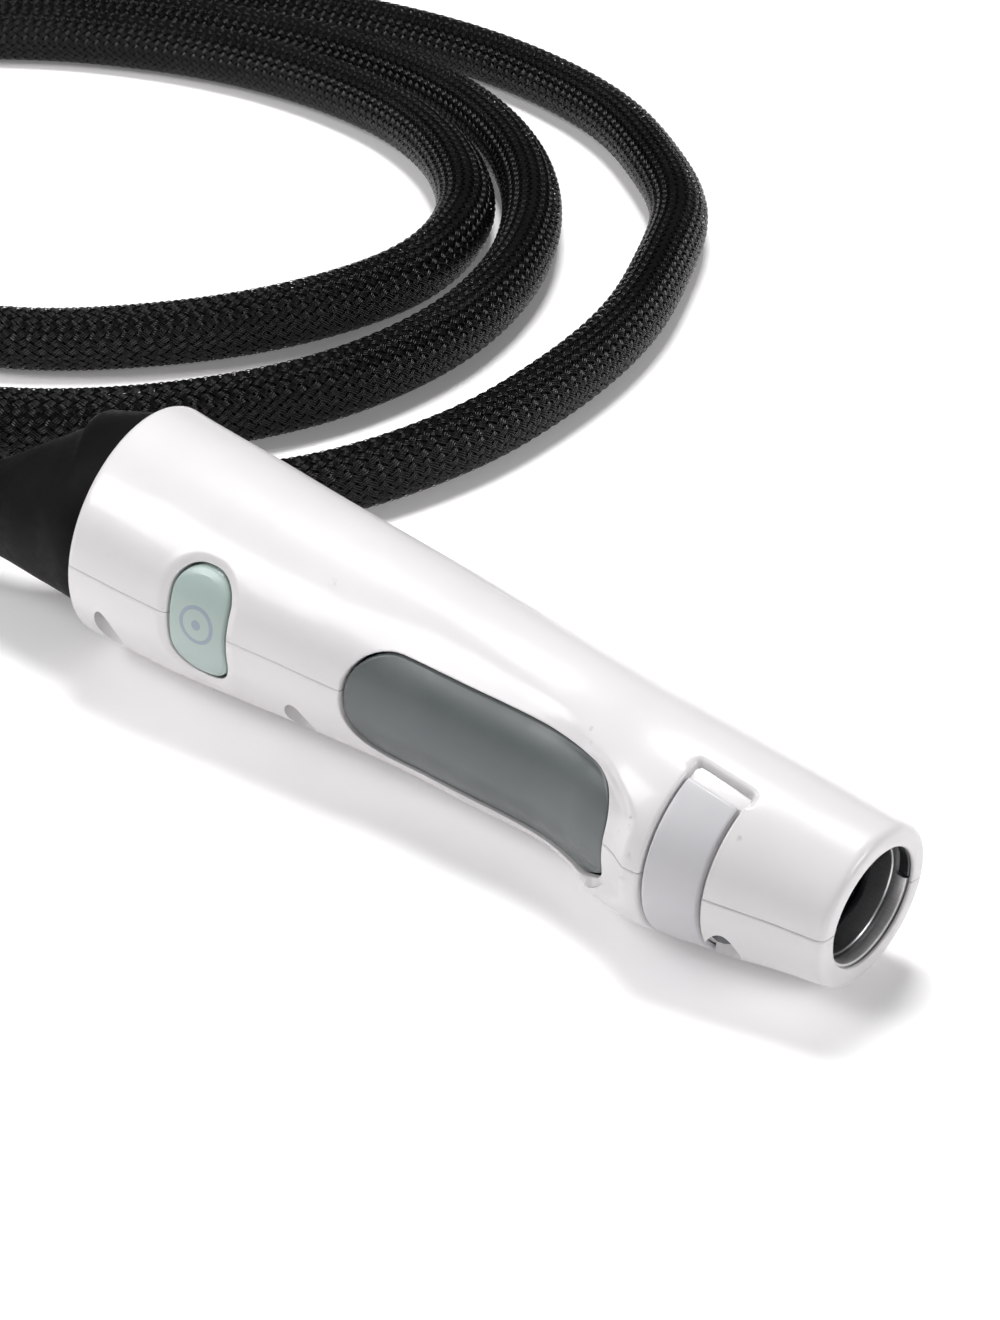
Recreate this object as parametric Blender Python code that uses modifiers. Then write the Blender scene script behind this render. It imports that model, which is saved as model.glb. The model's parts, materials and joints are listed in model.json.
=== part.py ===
"""Hand-held laser handpiece on a braided umbilical.

The tool is modelled along its own axis and then laid down: X runs from the rear rim to
the nose, the trigger side faces -Y, and Z = 0 is the plane where the two shell halves
meet. An empty rolls and pitches that tool frame so that the shell rests on Z = 0 of
the part's frame, where the umbilical lies.
"""
from math import acos, cos, pi, radians, sin, sqrt

import bmesh
import bpy
from mathutils import Matrix, Vector

MM = 0.001
GAP = 0.3 * MM
HALF_GAP = GAP / 2

# ---------------------------------------------------------------- driving dimensions
LENGTH = 190 * MM
WALL = 2.6 * MM
REAR_WALL = 3.2 * MM
REAR_ROUND = 1.8 * MM
NOSE_ROUND = 1.6 * MM

ROLL = radians(-6.5)
PITCH = radians(2.27)
REAR_HEIGHT = 26.66 * MM
REST_CENTRE = Vector((67.45 * MM, -3.78 * MM, 0))

# Stations along the tool: distance from the rear rim, radius of the round section,
# and how far the section's centre is set off towards the trigger side.
SECTIONS = (
    (0, 27.4, 3.8), (20, 26.1, 3.8), (40, 24.5, 2.9), (60, 23.0, 1.6), (80, 21.8, 0.9),
    (100, 20.9, 0.8), (120, 19.8, 0.7), (130, 20.1, 1.7), (141, 21.3, 4.4), (150, 21.3, 5.0),
    (160, 20.5, 4.2), (170, 19.3, 2.7), (180, 17.9, 1.2), (190, 16.8, 0.0),
)
# The rear face is square to the cord, not to the tool: the rear end is shifted along X
# at its centre, and leans with the distance across from the centre and above the seam.
REAR_CENTRE = -3.8 * MM
LEAN_SHIFT = -7.8 * MM
LEAN_ACROSS = -0.236
LEAN_UP = 0.072
LEAN_START = 6.0 * MM
LEAN_END = 24.0 * MM
# The finger scoop round the trigger: distance along the tool, depth, and the angle
# from the trigger's centre line at which the scoop has faded out.
SCOOP = (
    (64, 0.0, 66), (90, 1.1, 68), (125, 1.3, 56), (133, 1.8, 50), (141, 3.2, 45),
    (146, 2.6, 38), (151, 0.0, 30),
)
SCOOP_FLAT = 36

TRIGGER_START = 74.0 * MM
TRIGGER_END = 142.9 * MM
TRIGGER_WIDTH = 24.9 * MM
TRIGGER_ACROSS = -0.9 * MM
TRIGGER_SLIT = 0.45 * MM
TRIGGER_PIVOT_X = 79.0 * MM
TRIGGER_PIVOT_DEPTH = 15.6 * MM

BUTTON_X = 36.0 * MM
BUTTON_LENGTH = 14.8 * MM
BUTTON_WIDTH = 25.4 * MM
BUTTON_SLIT = 0.4 * MM
BUTTON_TRAVEL = 1.0 * MM

BAND_START = 155.0 * MM
BAND_END = 166.3 * MM
BAND_LOW = -67
BAND_HIGH = 57.5
POCKET_ANGLE = 68.3
BAND_CENTRE = 4.15 * MM

MOUTH_RADIUS = 12.5 * MM
NOSE_BORE = 14.6 * MM
SLEEVE_RADIUS = 14.3 * MM
SLEEVE_INSIDE = 13.0 * MM
# The split ring in the mouth: a moving length on the lock sleeve, and a fixed liner.
RING_RADIUS = 12.45 * MM
RING_FRONT = 189.05 * MM
RING_START = 177
RING_END = 335
LINER_START = -16
LINER_END = 175.4
CHASSIS_LOW = 6.6 * MM
CHASSIS_TOP = 8.6 * MM
BOARD_LOW = 9.0 * MM
BOARD_TOP = 10.6 * MM

CORD_RADIUS = 8.5 * MM
CORD_POINTS = 80

# Where the case screws stand: distance along the tool, distance towards the trigger side.
CASE_SCREWS = ((7.5, 25.7), (7.5, -18.4), (60, 18.9), (60, -16.2), (118, -14.2), (170, 16.9))

CLAMP_SCREWS = (-14.0 * MM, 6.4 * MM)

# The umbilical's route, from the boot's end to the console connector.
ROUTE = (
    (-52, -19.5, 20.6), (-80, -29, 14.6), (-112, -38, 10), (-150, -46, 8.8), (-205, -50, 8.8),
    (-262, -44, 8.8), (-318, -24, 8.8), (-364, 10, 8.8), (-396, 55, 8.8), (-411, 108, 8.8),
    (-404, 166, 8.8), (-380, 216, 8.8), (-340, 258, 8.8), (-288, 290, 8.8), (-230, 307, 8.8),
    (-172, 308, 8.8), (-118, 294, 8.8), (-78, 270, 8.8), (-54, 250, 8.8), (-34, 219, 8.8),
    (-18, 188, 8.8), (-8, 155, 8.8), (-3, 120, 8.8), (-4, 88, 8.8), (-13, 56, 8.8),
    (-32, 28, 8.8), (-60, 8, 8.8), (-98, -6, 8.8), (-150, -18, 8.8), (-205, -22, 8.8),
    (-260, -15, 8.8), (-312, 6, 8.8), (-352, 40, 8.8), (-380, 82, 8.8), (-389, 130, 8.8),
    (-380, 176, 8.8), (-355, 216, 8.8), (-315, 248, 8.8), (-266, 268, 8.8), (-212, 276, 8.8),
    (-160, 268, 8.8), (-118, 247, 8.8), (-89, 222, 8.8), (-65, 191, 8.8), (-50, 155, 8.8),
    (-45, 118, 8.8), (-52, 82, 8.8), (-70, 50, 8.8), (-97, 24, 8.8), (-140, 6, 8.8),
    (-192, 0, 8.8), (-246, 8, 8.8), (-295, 30, 8.8), (-333, 64, 8.8), (-358, 104, 8.8),
    (-366, 146, 8.8), (-352, 186, 8.8), (-320, 218, 8.8), (-278, 240, 8.8), (-232, 251, 8.8),
    (-186, 250, 8.8), (-142, 237, 8.8), (-104, 209, 8.8), (-85, 178, 8.8), (-81, 146, 8.8),
    (-90, 113, 8.8), (-109, 82, 8.8), (-138, 56, 8.8), (-170, 43, 10.6), (-200, 43, 15.4),
    (-224, 55, 18.1), (-243, 73, 18.4),
)

BODY_ANGLES = tuple(range(0, 181, 12))
FORM_ANGLES = tuple(range(0, 360, 18))

COLLECTION = "laser_handpiece"


# ---------------------------------------------------------------- scene and materials
def clear_scene():
    for item in list(bpy.data.objects):
        bpy.data.objects.remove(item, do_unlink=True)
    for group in list(bpy.data.collections):
        bpy.data.collections.remove(group)


def new_collection(name):
    group = bpy.data.collections.new(name)
    bpy.context.scene.collection.children.link(group)
    return group


def material(name, colour, roughness, metallic=0.0):
    found = bpy.data.materials.get(name)
    if found:
        return found
    made = bpy.data.materials.new(name)
    made.use_nodes = True
    shader = made.node_tree.nodes["Principled BSDF"]
    shader.inputs["Base Color"].default_value = (*colour, 1)
    shader.inputs["Roughness"].default_value = roughness
    shader.inputs["Metallic"].default_value = metallic
    made.diffuse_color = (*colour, 1)
    return made


FINISHES = {
    "white_plastic": ((0.80, 0.78, 0.78), 0.32, 0.0),
    "grey_plastic": ((0.13, 0.145, 0.145), 0.45, 0.0),
    "button_plastic": ((0.45, 0.53, 0.51), 0.4, 0.0),
    "band_plastic": ((0.60, 0.60, 0.62), 0.38, 0.0),
    "aluminium": ((0.72, 0.72, 0.74), 0.3, 1.0),
    "black_anodised": ((0.02, 0.02, 0.022), 0.45, 0.6),
    "steel": ((0.55, 0.55, 0.56), 0.28, 1.0),
    "brass": ((0.78, 0.6, 0.28), 0.3, 1.0),
    "lens_glass": ((0.75, 0.82, 0.85), 0.05, 0.0),
    "circuit_board": ((0.02, 0.2, 0.08), 0.5, 0.0),
    "black_rubber": ((0.02, 0.02, 0.02), 0.6, 0.0),
    "black_plastic": ((0.025, 0.025, 0.025), 0.45, 0.0),
    "braided_sleeve": ((0.015, 0.015, 0.015), 0.5, 0.0),
    "fibre_jacket": ((0.75, 0.35, 0.05), 0.4, 0.0),
}


# ---------------------------------------------------------------- building helpers
class Workshop:
    """Holds the two collections and the empties that place everything."""

    parts = None
    cutters = None
    rest = None
    tool = None


def finish_object(item, group, parent, finish=None):
    for owner in list(item.users_collection):
        owner.objects.unlink(item)
    group.objects.link(item)
    item.parent = parent
    if finish:
        item.data.materials.clear()
        item.data.materials.append(material(finish, *FINISHES[finish]))
    return item


def as_part(item, finish, parent=None):
    return finish_object(item, Workshop.parts, parent or Workshop.tool, finish)


def empty(name, parent=None):
    item = bpy.data.objects.new(name, None)
    Workshop.parts.objects.link(item)
    item.parent = parent
    return item


def on_joint(item, point):
    """Hangs a moving piece on an empty that stands on its joint axis."""
    pivot = empty(f"{item.name}_axis", Workshop.tool)
    pivot.location = point
    item.parent = pivot
    item.matrix_parent_inverse = Matrix.Translation(-Vector(point))
    return item


def as_cutter(item, parent=None):
    finish_object(item, Workshop.cutters, parent or Workshop.tool)
    item.hide_render = True
    item.display_type = "WIRE"
    return item


def mesh_object(name, bm, smooth=True):
    mesh = bpy.data.meshes.new(name)
    bm.to_mesh(mesh)
    bm.free()
    if smooth:
        mesh.shade_smooth()
        mesh.set_sharp_from_angle(angle=radians(32))
    item = bpy.data.objects.new(name, mesh)
    bpy.context.scene.collection.objects.link(item)
    return item


def loft(name, rings):
    """A closed solid through rings of points that match one to one."""
    bm = bmesh.new()
    rows = [[bm.verts.new(point) for point in ring] for ring in rings]
    count = len(rows[0])
    for near, far in zip(rows, rows[1:]):
        for i in range(count):
            j = (i + 1) % count
            bm.faces.new((near[i], near[j], far[j], far[i]))
    bm.faces.new(rows[0])
    bm.faces.new(list(reversed(rows[-1])))
    bmesh.ops.recalc_face_normals(bm, faces=bm.faces)
    return mesh_object(name, bm)


def boolean(target, other, operation):
    step = target.modifiers.new(operation.lower(), "BOOLEAN")
    step.operation = operation
    step.object = other
    step.solver = "EXACT"
    return target


def cut(target, *others):
    for other in others:
        boolean(target, other, "DIFFERENCE")
    return target


def join(target, *others):
    for other in others:
        boolean(target, other, "UNION")
    return target


def keep(target, other):
    return boolean(target, other, "INTERSECT")


AXIS_TURNS = {
    "X": Matrix.Rotation(pi / 2, 4, "Y"),
    "Y": Matrix.Rotation(-pi / 2, 4, "X"),
    "Z": Matrix.Identity(4),
}


def cylinder(name, radius, start, end, axis="X", across=(0, 0), sides=24):
    """A cylinder along an axis; across gives its centre on the other two axes in order."""
    bm = bmesh.new()
    bmesh.ops.create_cone(bm, cap_ends=True, segments=sides, radius1=radius, radius2=radius,
                          depth=abs(end - start))
    bm.transform(AXIS_TURNS[axis])
    middle = (start + end) / 2
    spot = {"X": (middle, across[0], across[1]), "Y": (across[0], middle, across[1]),
            "Z": (across[0], across[1], middle)}[axis]
    bm.transform(Matrix.Translation(spot))
    return mesh_object(name, bm)


def block(name, low, high, bevel=0.0):
    bm = bmesh.new()
    bmesh.ops.create_cube(bm, size=1.0)
    low, high = Vector(low), Vector(high)
    size = high - low
    bm.transform(Matrix.Translation((low + high) / 2) @ Matrix.Diagonal((*size, 1)))
    item = mesh_object(name, bm, smooth=False)
    if bevel:
        edge = item.modifiers.new("edges", "BEVEL")
        edge.width = bevel
        edge.segments = 1
    return item


def turned(name, profile, steps=20, centre=(0, 0), along="X"):
    """A profile of (distance along the axis, radius), from its far end to its near end
    down the outside, turned about the axis with a Screw modifier."""
    mesh = bpy.data.meshes.new(name)
    points = [(radius, 0, distance) for distance, radius in profile]
    solid = profile[0][1] == 0
    edges = [(i, i + 1) for i in range(len(points) - 1)]
    if not solid:
        edges.append((len(points) - 1, 0))
    mesh.from_pydata(points, edges, [])
    item = bpy.data.objects.new(name, mesh)
    bpy.context.scene.collection.objects.link(item)
    screw = item.modifiers.new("turn", "SCREW")
    screw.angle = 2 * pi
    screw.steps = steps
    screw.render_steps = steps
    screw.use_merge_vertices = True
    screw.merge_threshold = 1e-6
    screw.use_smooth_shade = True
    item.matrix_local = AXIS_TURNS[along]
    item.location = (0, centre[0], centre[1])
    return item


def tube(name, points, radius, sides=2):
    """A round rod along a polyline, as a capped curve."""
    curve = bpy.data.curves.new(name, "CURVE")
    curve.dimensions = "3D"
    curve.bevel_depth = radius
    curve.bevel_resolution = sides
    curve.use_fill_caps = True
    spline = curve.splines.new("POLY")
    spline.points.add(len(points) - 1)
    for spot, point in zip(spline.points, points):
        spot.co = (*point, 1)
    item = bpy.data.objects.new(name, curve)
    bpy.context.scene.collection.objects.link(item)
    return item


def rounded_outline(start, end, half_width, start_round, end_round, across=0.0, steps=5):
    """A rectangle in X and Z with two corner radii, its middle set off across Z."""
    corners = (
        (end - end_round, half_width - end_round, end_round, 0),
        (start + start_round, half_width - start_round, start_round, 90),
        (start + start_round, start_round - half_width, start_round, 180),
        (end - end_round, end_round - half_width, end_round, 270),
    )
    points = []
    for x, z, radius, first in corners:
        for i in range(steps + 1):
            turn = radians(first + 90 * i / steps)
            points.append((x + radius * cos(turn), across + z + radius * sin(turn)))
    return points


def prism(name, outline, near, far):
    """An outline in X and Z, extruded along Y from near to far."""
    bm = bmesh.new()
    face = bm.faces.new([bm.verts.new((x, near, z)) for x, z in outline])
    grown = bmesh.ops.extrude_face_region(bm, geom=[face])
    moved = [v for v in grown["geom"] if isinstance(v, bmesh.types.BMVert)]
    bmesh.ops.translate(bm, verts=moved, vec=(0, far - near, 0))
    bmesh.ops.recalc_face_normals(bm, faces=bm.faces)
    return mesh_object(name, bm, smooth=False)


def smooth_table(table, x):
    """Reads a table of stations with a smooth curve through them."""
    if x <= table[0][0]:
        return table[0][1:]
    if x >= table[-1][0]:
        return table[-1][1:]
    i = max(k for k in range(len(table) - 1) if table[k][0] <= x)
    left, right = table[i], table[i + 1]
    before = table[max(i - 1, 0)]
    after = table[min(i + 2, len(table) - 1)]
    span = right[0] - left[0]
    t = (x - left[0]) / span
    values = []
    for k in range(1, len(left)):
        rise = (right[k] - before[k]) / (right[0] - before[0]) * span
        fall = (after[k] - left[k]) / (after[0] - left[0]) * span
        values.append((2 * t**3 - 3 * t**2 + 1) * left[k] + (t**3 - 2 * t**2 + t) * rise
                      + (3 * t**2 - 2 * t**3) * right[k] + (t**3 - t**2) * fall)
    return values


# ---------------------------------------------------------------- the body's form
def fade(value, start, end):
    """1 before start, 0 after end, and a smooth fall between them."""
    if value <= start:
        return 1.0
    if value >= end:
        return 0.0
    return 0.5 + 0.5 * cos(pi * (value - start) / (end - start))


def scoop_depth(x, angle):
    depth, edge = smooth_table(SCOOP, x / MM)
    flat = min(SCOOP_FLAT, edge - 12)
    return max(depth, 0) * MM * fade(abs(angle), flat, edge)


def end_round(x):
    """How far the outside draws in at the two rounded ends."""
    for distance, radius in ((x, REAR_ROUND), (LENGTH - x, NOSE_ROUND)):
        if distance < radius:
            return radius - sqrt(max(radius**2 - (radius - distance) ** 2, 0))
    return 0.0


def outside(x):
    radius, offset = smooth_table(SECTIONS, x / MM)
    return radius * MM, offset * MM


def leaned(point):
    """Shifts a point of the rear end along X, so that the rear face faces the cord."""
    shift = LEAN_SHIFT + LEAN_ACROSS * (point.y - REAR_CENTRE) + LEAN_UP * point.z
    share = fade(point.x, LEAN_START, LEAN_END)
    return Vector((point.x + share * shift, point.y, point.z))


def body_point(x, angle, inset=0.0):
    """A point on the body, angle in degrees from the trigger side, inset below the skin."""
    radius, offset = outside(x)
    radius -= scoop_depth(x, (angle + 180) % 360 - 180) + end_round(x) + inset
    turn = radians(angle)
    return leaned(Vector((x, -offset - radius * cos(turn), radius * sin(turn))))


def stations(start, end, wanted):
    inner = [x * MM for x in wanted if start < x * MM < end]
    return [start] + inner + [end]


BODY_STATIONS = (0.5, 1.8, 6, 12, 18, 25, 40, 54, 66, 78, 90, 105, 120, 127, 132, 136, 140, 143, 146,
                 148.5, 151, 157, 165, 174, 182, 188.4, 189.5)
COARSE_STATIONS = (6, 14, 28, 44, 62, 80, 100, 118, 129, 137, 143, 149, 157, 165)


def full_form(name, start, end, inset, wanted=COARSE_STATIONS):
    rings = []
    for x in stations(start, end, wanted):
        depth = inset(x) if callable(inset) else inset
        rings.append([body_point(x, angle, depth) for angle in FORM_ANGLES])
    return loft(name, rings)


def patch(name, start, end, low, high, top, bottom, wanted, steps=10):
    """A slab that follows the body's skin, between two angles and two insets."""
    rings = []
    for x in stations(start, end, wanted):
        spread = [low + (high - low) * i / steps for i in range(steps + 1)]
        outer = [body_point(x, angle, top) for angle in spread]
        inner = [body_point(x, angle, bottom) for angle in reversed(spread)]
        rings.append(outer + inner)
    return loft(name, rings)


# ---------------------------------------------------------------- shell halves
def cavity_inset(x):
    return WALL if x < 148 * MM else 4.0 * MM


def screw_cutters(name, side):
    """Bosses, holes and counterbores for the case screws in one half."""
    bosses, holes = [], []
    for number, (x, toward) in enumerate(CASE_SCREWS):
        spot = (x * MM, -toward * MM)
        far = side * 26 * MM if side < 0 else 11.5 * MM
        near = side * (HALF_GAP + 0.1 * MM)
        boss = cylinder(f"{name}_boss_{number}", 4.4 * MM, near, far, "Z", spot, 14)
        bosses.append(as_cutter(keep(boss, Workshop.core)))
        reach = 10 * MM if side > 0 else -7 * MM
        hole = cylinder(f"{name}_hole_{number}", 1.85 * MM, -side * MM, reach, "Z", spot, 10)
        holes.append(as_cutter(hole))
        if side < 0:
            bore = cylinder(f"{name}_bore_{number}", 3.5 * MM, -6.2 * MM, -32 * MM, "Z", spot, 18)
            holes.append(as_cutter(bore))
    return bosses, holes


def shell_half(name, side):
    rings = []
    for x in stations(0.0, LENGTH, BODY_STATIONS):
        ring = []
        for angle in BODY_ANGLES:
            point = body_point(x, side * angle)
            point.z = side * max(side * point.z, HALF_GAP)
            ring.append(point)
        rings.append(ring)
    shell = loft(name, rings)
    cut(shell, Workshop.cavity)
    bosses, holes = screw_cutters(name, side)
    join(shell, *bosses)
    cut(shell, *holes)
    cut(shell, *Workshop.openings)
    return as_part(shell, "white_plastic")


def common_cutters():
    """The inner hollow and every opening that both halves share."""
    Workshop.core = as_cutter(full_form("core_form", 1 * MM, 187 * MM, 1.0 * MM))
    Workshop.cavity = as_cutter(full_form("cavity", REAR_WALL, 173 * MM, cavity_inset))
    nose = as_cutter(turned("nose_bore", (
        (192 * MM, 0), (192 * MM, MOUTH_RADIUS), (189.35 * MM, MOUTH_RADIUS),
        (189.35 * MM, NOSE_BORE), (130 * MM, NOSE_BORE), (130 * MM, 0)), 32))
    rear = as_cutter(loft("rear_opening", [rear_ring(x * MM, 15.9 * MM, 32) for x in (-3, 6)]))
    trigger = as_cutter(prism("trigger_opening", rounded_outline(
        TRIGGER_START - TRIGGER_SLIT, TRIGGER_END + TRIGGER_SLIT,
        TRIGGER_WIDTH / 2 + TRIGGER_SLIT, 11.8 * MM, 8.8 * MM, TRIGGER_ACROSS),
        -9 * MM, -40 * MM))
    button = as_cutter(prism("button_opening", rounded_outline(
        BUTTON_X - BUTTON_LENGTH / 2 - BUTTON_SLIT, BUTTON_X + BUTTON_LENGTH / 2 + BUTTON_SLIT,
        BUTTON_WIDTH / 2 + BUTTON_SLIT, 7.2 * MM, 7.2 * MM), -16 * MM, -40 * MM))
    pocket = as_cutter(patch("band_pocket", BAND_START - 0.35 * MM, BAND_END + 0.35 * MM,
                             -POCKET_ANGLE, POCKET_ANGLE, -3 * MM, 1.95 * MM, (158, 162),
                             steps=10))
    slot = as_cutter(block("post_slot", (157.6 * MM, -27 * MM, -2.6 * MM),
                           (163.8 * MM, -12 * MM, 5.4 * MM)))
    Workshop.openings = [nose, rear, trigger, button, pocket, slot]


def screw(name, spot, shank_radius, shank_far, head_radius, head_start, head_end):
    """A socket-head screw along Z, its head's open face at head_end."""
    head = cylinder(name, head_radius, head_start, head_end, "Z", spot, 12)
    shank = cylinder(f"{name}_shank", shank_radius, (head_start + head_end) / 2, shank_far, "Z",
                     spot, 8)
    sink = (head_start - head_end) * 0.55
    socket = cylinder(f"{name}_socket", head_radius * 0.46, head_end - sink, head_end + sink,
                      "Z", spot, 6)
    join(head, as_cutter(shank))
    cut(head, as_cutter(socket))
    return as_part(head, "steel")


def case_screws():
    """Six screws that enter from the lower half."""
    for number, (x, toward) in enumerate(CASE_SCREWS, 1):
        screw(f"case_screw_{number}", (x * MM, -toward * MM), 1.5 * MM, 9.3 * MM,
              2.7 * MM, -6.5 * MM, -9.4 * MM)


# ---------------------------------------------------------------- trigger
def trigger_paddle():
    wanted = (82, 94, 107, 120, 128, 134, 139, 143, 146)
    paddle = patch("trigger_paddle", 70 * MM, 148.5 * MM, -58, 58, GAP, 3.0 * MM, wanted, 14)
    outline = prism("trigger_outline", rounded_outline(
        TRIGGER_START, TRIGGER_END, TRIGGER_WIDTH / 2, 11.4 * MM, 8.4 * MM, TRIGGER_ACROSS),
        -9 * MM, -40 * MM)
    keep(paddle, as_cutter(outline))
    pivot = (TRIGGER_PIVOT_X, -TRIGGER_PIVOT_DEPTH)
    for number, low in enumerate((-7.8, 5.0)):
        ear = block(f"trigger_ear_{number}",
                    (77.2 * MM, -19.2 * MM, low * MM), (81.4 * MM, -13.2 * MM, (low + 2.8) * MM))
        join(paddle, as_cutter(ear))
    tab = block("trigger_tab", (136 * MM, -19.6 * MM, -2.8 * MM), (145.5 * MM, -18.2 * MM, 2.8 * MM))
    foot = block("trigger_foot", (121 * MM, -18.2 * MM, -2.4 * MM),
                 (127 * MM, -16.3 * MM, 2.4 * MM))
    join(paddle, as_cutter(tab), as_cutter(foot))
    bore = cylinder("trigger_bore", 1.6 * MM, -10 * MM, 10 * MM, "Z", pivot, 16)
    cut(paddle, as_cutter(bore))
    return on_joint(as_part(paddle, "grey_plastic"), (*pivot, 0))


def trigger_pin():
    pin = cylinder("trigger_pin", 1.25 * MM, -8.6 * MM, 8.6 * MM, "Z",
                   (TRIGGER_PIVOT_X, -TRIGGER_PIVOT_DEPTH), 20)
    return as_part(pin, "steel")


def trigger_bracket():
    bracket = block("trigger_bracket", (75.4 * MM, -17.8 * MM, -4.6 * MM),
                    (82.6 * MM, -CHASSIS_TOP - GAP, 4.6 * MM), 0.6 * MM)
    bore = cylinder("bracket_bore", 1.6 * MM, -8 * MM, 8 * MM, "Z",
                    (TRIGGER_PIVOT_X, -TRIGGER_PIVOT_DEPTH), 20)
    cut(bracket, as_cutter(bore))
    return as_part(bracket, "aluminium")


def coil_spring(name, centre, radius, wire, near, far, turns):
    """A compression spring along Y, with its coils drawn as one rising helix."""
    per_turn = 8
    count = turns * per_turn
    points = []
    for i in range(count + 1):
        turn = 2 * pi * i / per_turn
        y = near + (far - near) * i / count
        points.append((centre[0] + radius * cos(turn), y, centre[1] + radius * sin(turn)))
    return as_part(tube(name, points, wire / 2, 1), "steel")


def switch_body(name, x, half_length, half_width, low, top, bore_end):
    body = block(name, (x - half_length, -top, -half_width), (x + half_length, -low, half_width),
                 0.3 * MM)
    bore = cylinder(f"{name}_bore", 1.9 * MM, -top - MM, -bore_end, "Y", (x, 0), 16)
    cut(body, as_cutter(bore))
    return as_part(body, "black_plastic")


def plunger(name, x, low, top):
    pin = cylinder(name, 1.5 * MM, -top, -low, "Y", (x, 0), 16)
    return on_joint(as_part(pin, "grey_plastic"), (x, -low, 0))


# ---------------------------------------------------------------- mode button
def button_prism(name, margin, corner):
    return as_cutter(prism(name, rounded_outline(
        BUTTON_X - BUTTON_LENGTH / 2 - margin, BUTTON_X + BUTTON_LENGTH / 2 + margin,
        BUTTON_WIDTH / 2 + margin, corner, corner), -12 * MM, -40 * MM))


def mode_button():
    wanted = (32, 37, 42)
    cap = patch("mode_button", 26 * MM, 48 * MM, -38, 38, 0.2 * MM, 4.3 * MM, wanted, 6)
    keep(cap, button_prism("button_outline", 0.0, 6.8 * MM))
    flange = patch("button_flange", 25 * MM, 49 * MM, -44, 44, 3.0 * MM, 4.3 * MM, wanted, 6)
    keep(flange, button_prism("flange_outline", 1.5 * MM, 8 * MM))
    stem = cylinder("button_stem", 2 * MM, -24.2 * MM, -17.5 * MM, "Y", (BUTTON_X, 0), 16)
    join(cap, as_cutter(flange), as_cutter(stem))
    return on_joint(as_part(cap, "button_plastic"), (BUTTON_X, -17.5 * MM, 0))


# ---------------------------------------------------------------- tip lock
def lock_band():
    band = patch("lock_band", BAND_START, BAND_END, BAND_LOW, BAND_HIGH, 0.35 * MM, 1.6 * MM,
                 (158, 162), 10)
    post = block("lock_post", (159.1 * MM, -23.6 * MM, -1.5 * MM),
                 (162.3 * MM, -13.5 * MM, 1.5 * MM))
    join(band, as_cutter(post))
    return on_joint(as_part(band, "band_plastic"), (BAND_START, -BAND_CENTRE, 0))


def ring_length(name, near, far, low, high, steps):
    """A length of the split ring round the mouth, between two angles."""
    rings = []
    for i in range(steps + 1):
        turn = radians(low + (high - low) * i / steps)
        rings.append([Vector((x, -radius * cos(turn), radius * sin(turn))) for x, radius in (
            (near, RING_RADIUS), (far, RING_RADIUS), (far, SLEEVE_RADIUS),
            (near, SLEEVE_RADIUS))])
    return loft(name, rings)


def lock_sleeve():
    """The sleeve that the band turns, with the moving length of the split ring on it."""
    sleeve = turned("lock_sleeve", (
        (186.6 * MM, SLEEVE_INSIDE), (186.6 * MM, SLEEVE_RADIUS), (157 * MM, SLEEVE_RADIUS),
        (157 * MM, SLEEVE_INSIDE)), 28)
    notch = block("sleeve_notch", (156 * MM, -16 * MM, -1.95 * MM),
                  (163.2 * MM, -11 * MM, 1.95 * MM))
    cut(sleeve, as_cutter(notch))
    moving = ring_length("lock_ring", 186.3 * MM, RING_FRONT, RING_START, RING_END, 14)
    join(sleeve, as_cutter(moving))
    return on_joint(as_part(sleeve, "aluminium"), (157 * MM, 0, 0))


def nose_liner():
    """The fixed length of the split ring, held in the shell."""
    liner = ring_length("nose_liner", 186.9 * MM, RING_FRONT, LINER_START, LINER_END, 16)
    return as_part(liner, "aluminium")


# ---------------------------------------------------------------- optics in the nose
def nose_sleeve():
    sleeve = turned("nose_sleeve", (
        (185.9 * MM, 11.9 * MM), (185.5 * MM, 12.6 * MM), (133.4 * MM, 12.6 * MM),
        (133.4 * MM, 14.1 * MM), (130.8 * MM, 14.1 * MM), (130.8 * MM, 11.6 * MM),
        (185.2 * MM, 11.6 * MM)), 28)
    return as_part(sleeve, "aluminium")


def lens_barrel():
    barrel = turned("lens_barrel", (
        (182 * MM, 10.7 * MM), (182 * MM, 11.3 * MM), (134 * MM, 11.3 * MM),
        (134 * MM, 8.2 * MM), (136 * MM, 8.2 * MM), (136 * MM, 10.3 * MM),
        (181.4 * MM, 10.3 * MM)), 28)
    return as_part(barrel, "black_anodised")


def lens(name, near, far, radius, bulge):
    """A lens with one domed face towards the nose."""
    sweep = 3
    ball = (radius**2 + bulge**2) / (2 * bulge)
    edge = acos(1 - bulge / ball)
    crown = []
    for i in range(sweep + 1):
        turn = edge * i / sweep
        crown.append((far - ball + ball * cos(turn), ball * sin(turn)))
    crown[0] = (far, 0)
    crown[-1] = (far - bulge, radius)
    return as_part(turned(name, (*crown, (near, radius), (near, 0)), 20), "lens_glass")


def ring(name, near, far, outer, inner, finish, centre=(0, 0)):
    made = turned(name, ((far, inner), (far, outer), (near, outer), (near, inner)), 20, centre)
    return as_part(made, finish)


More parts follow.
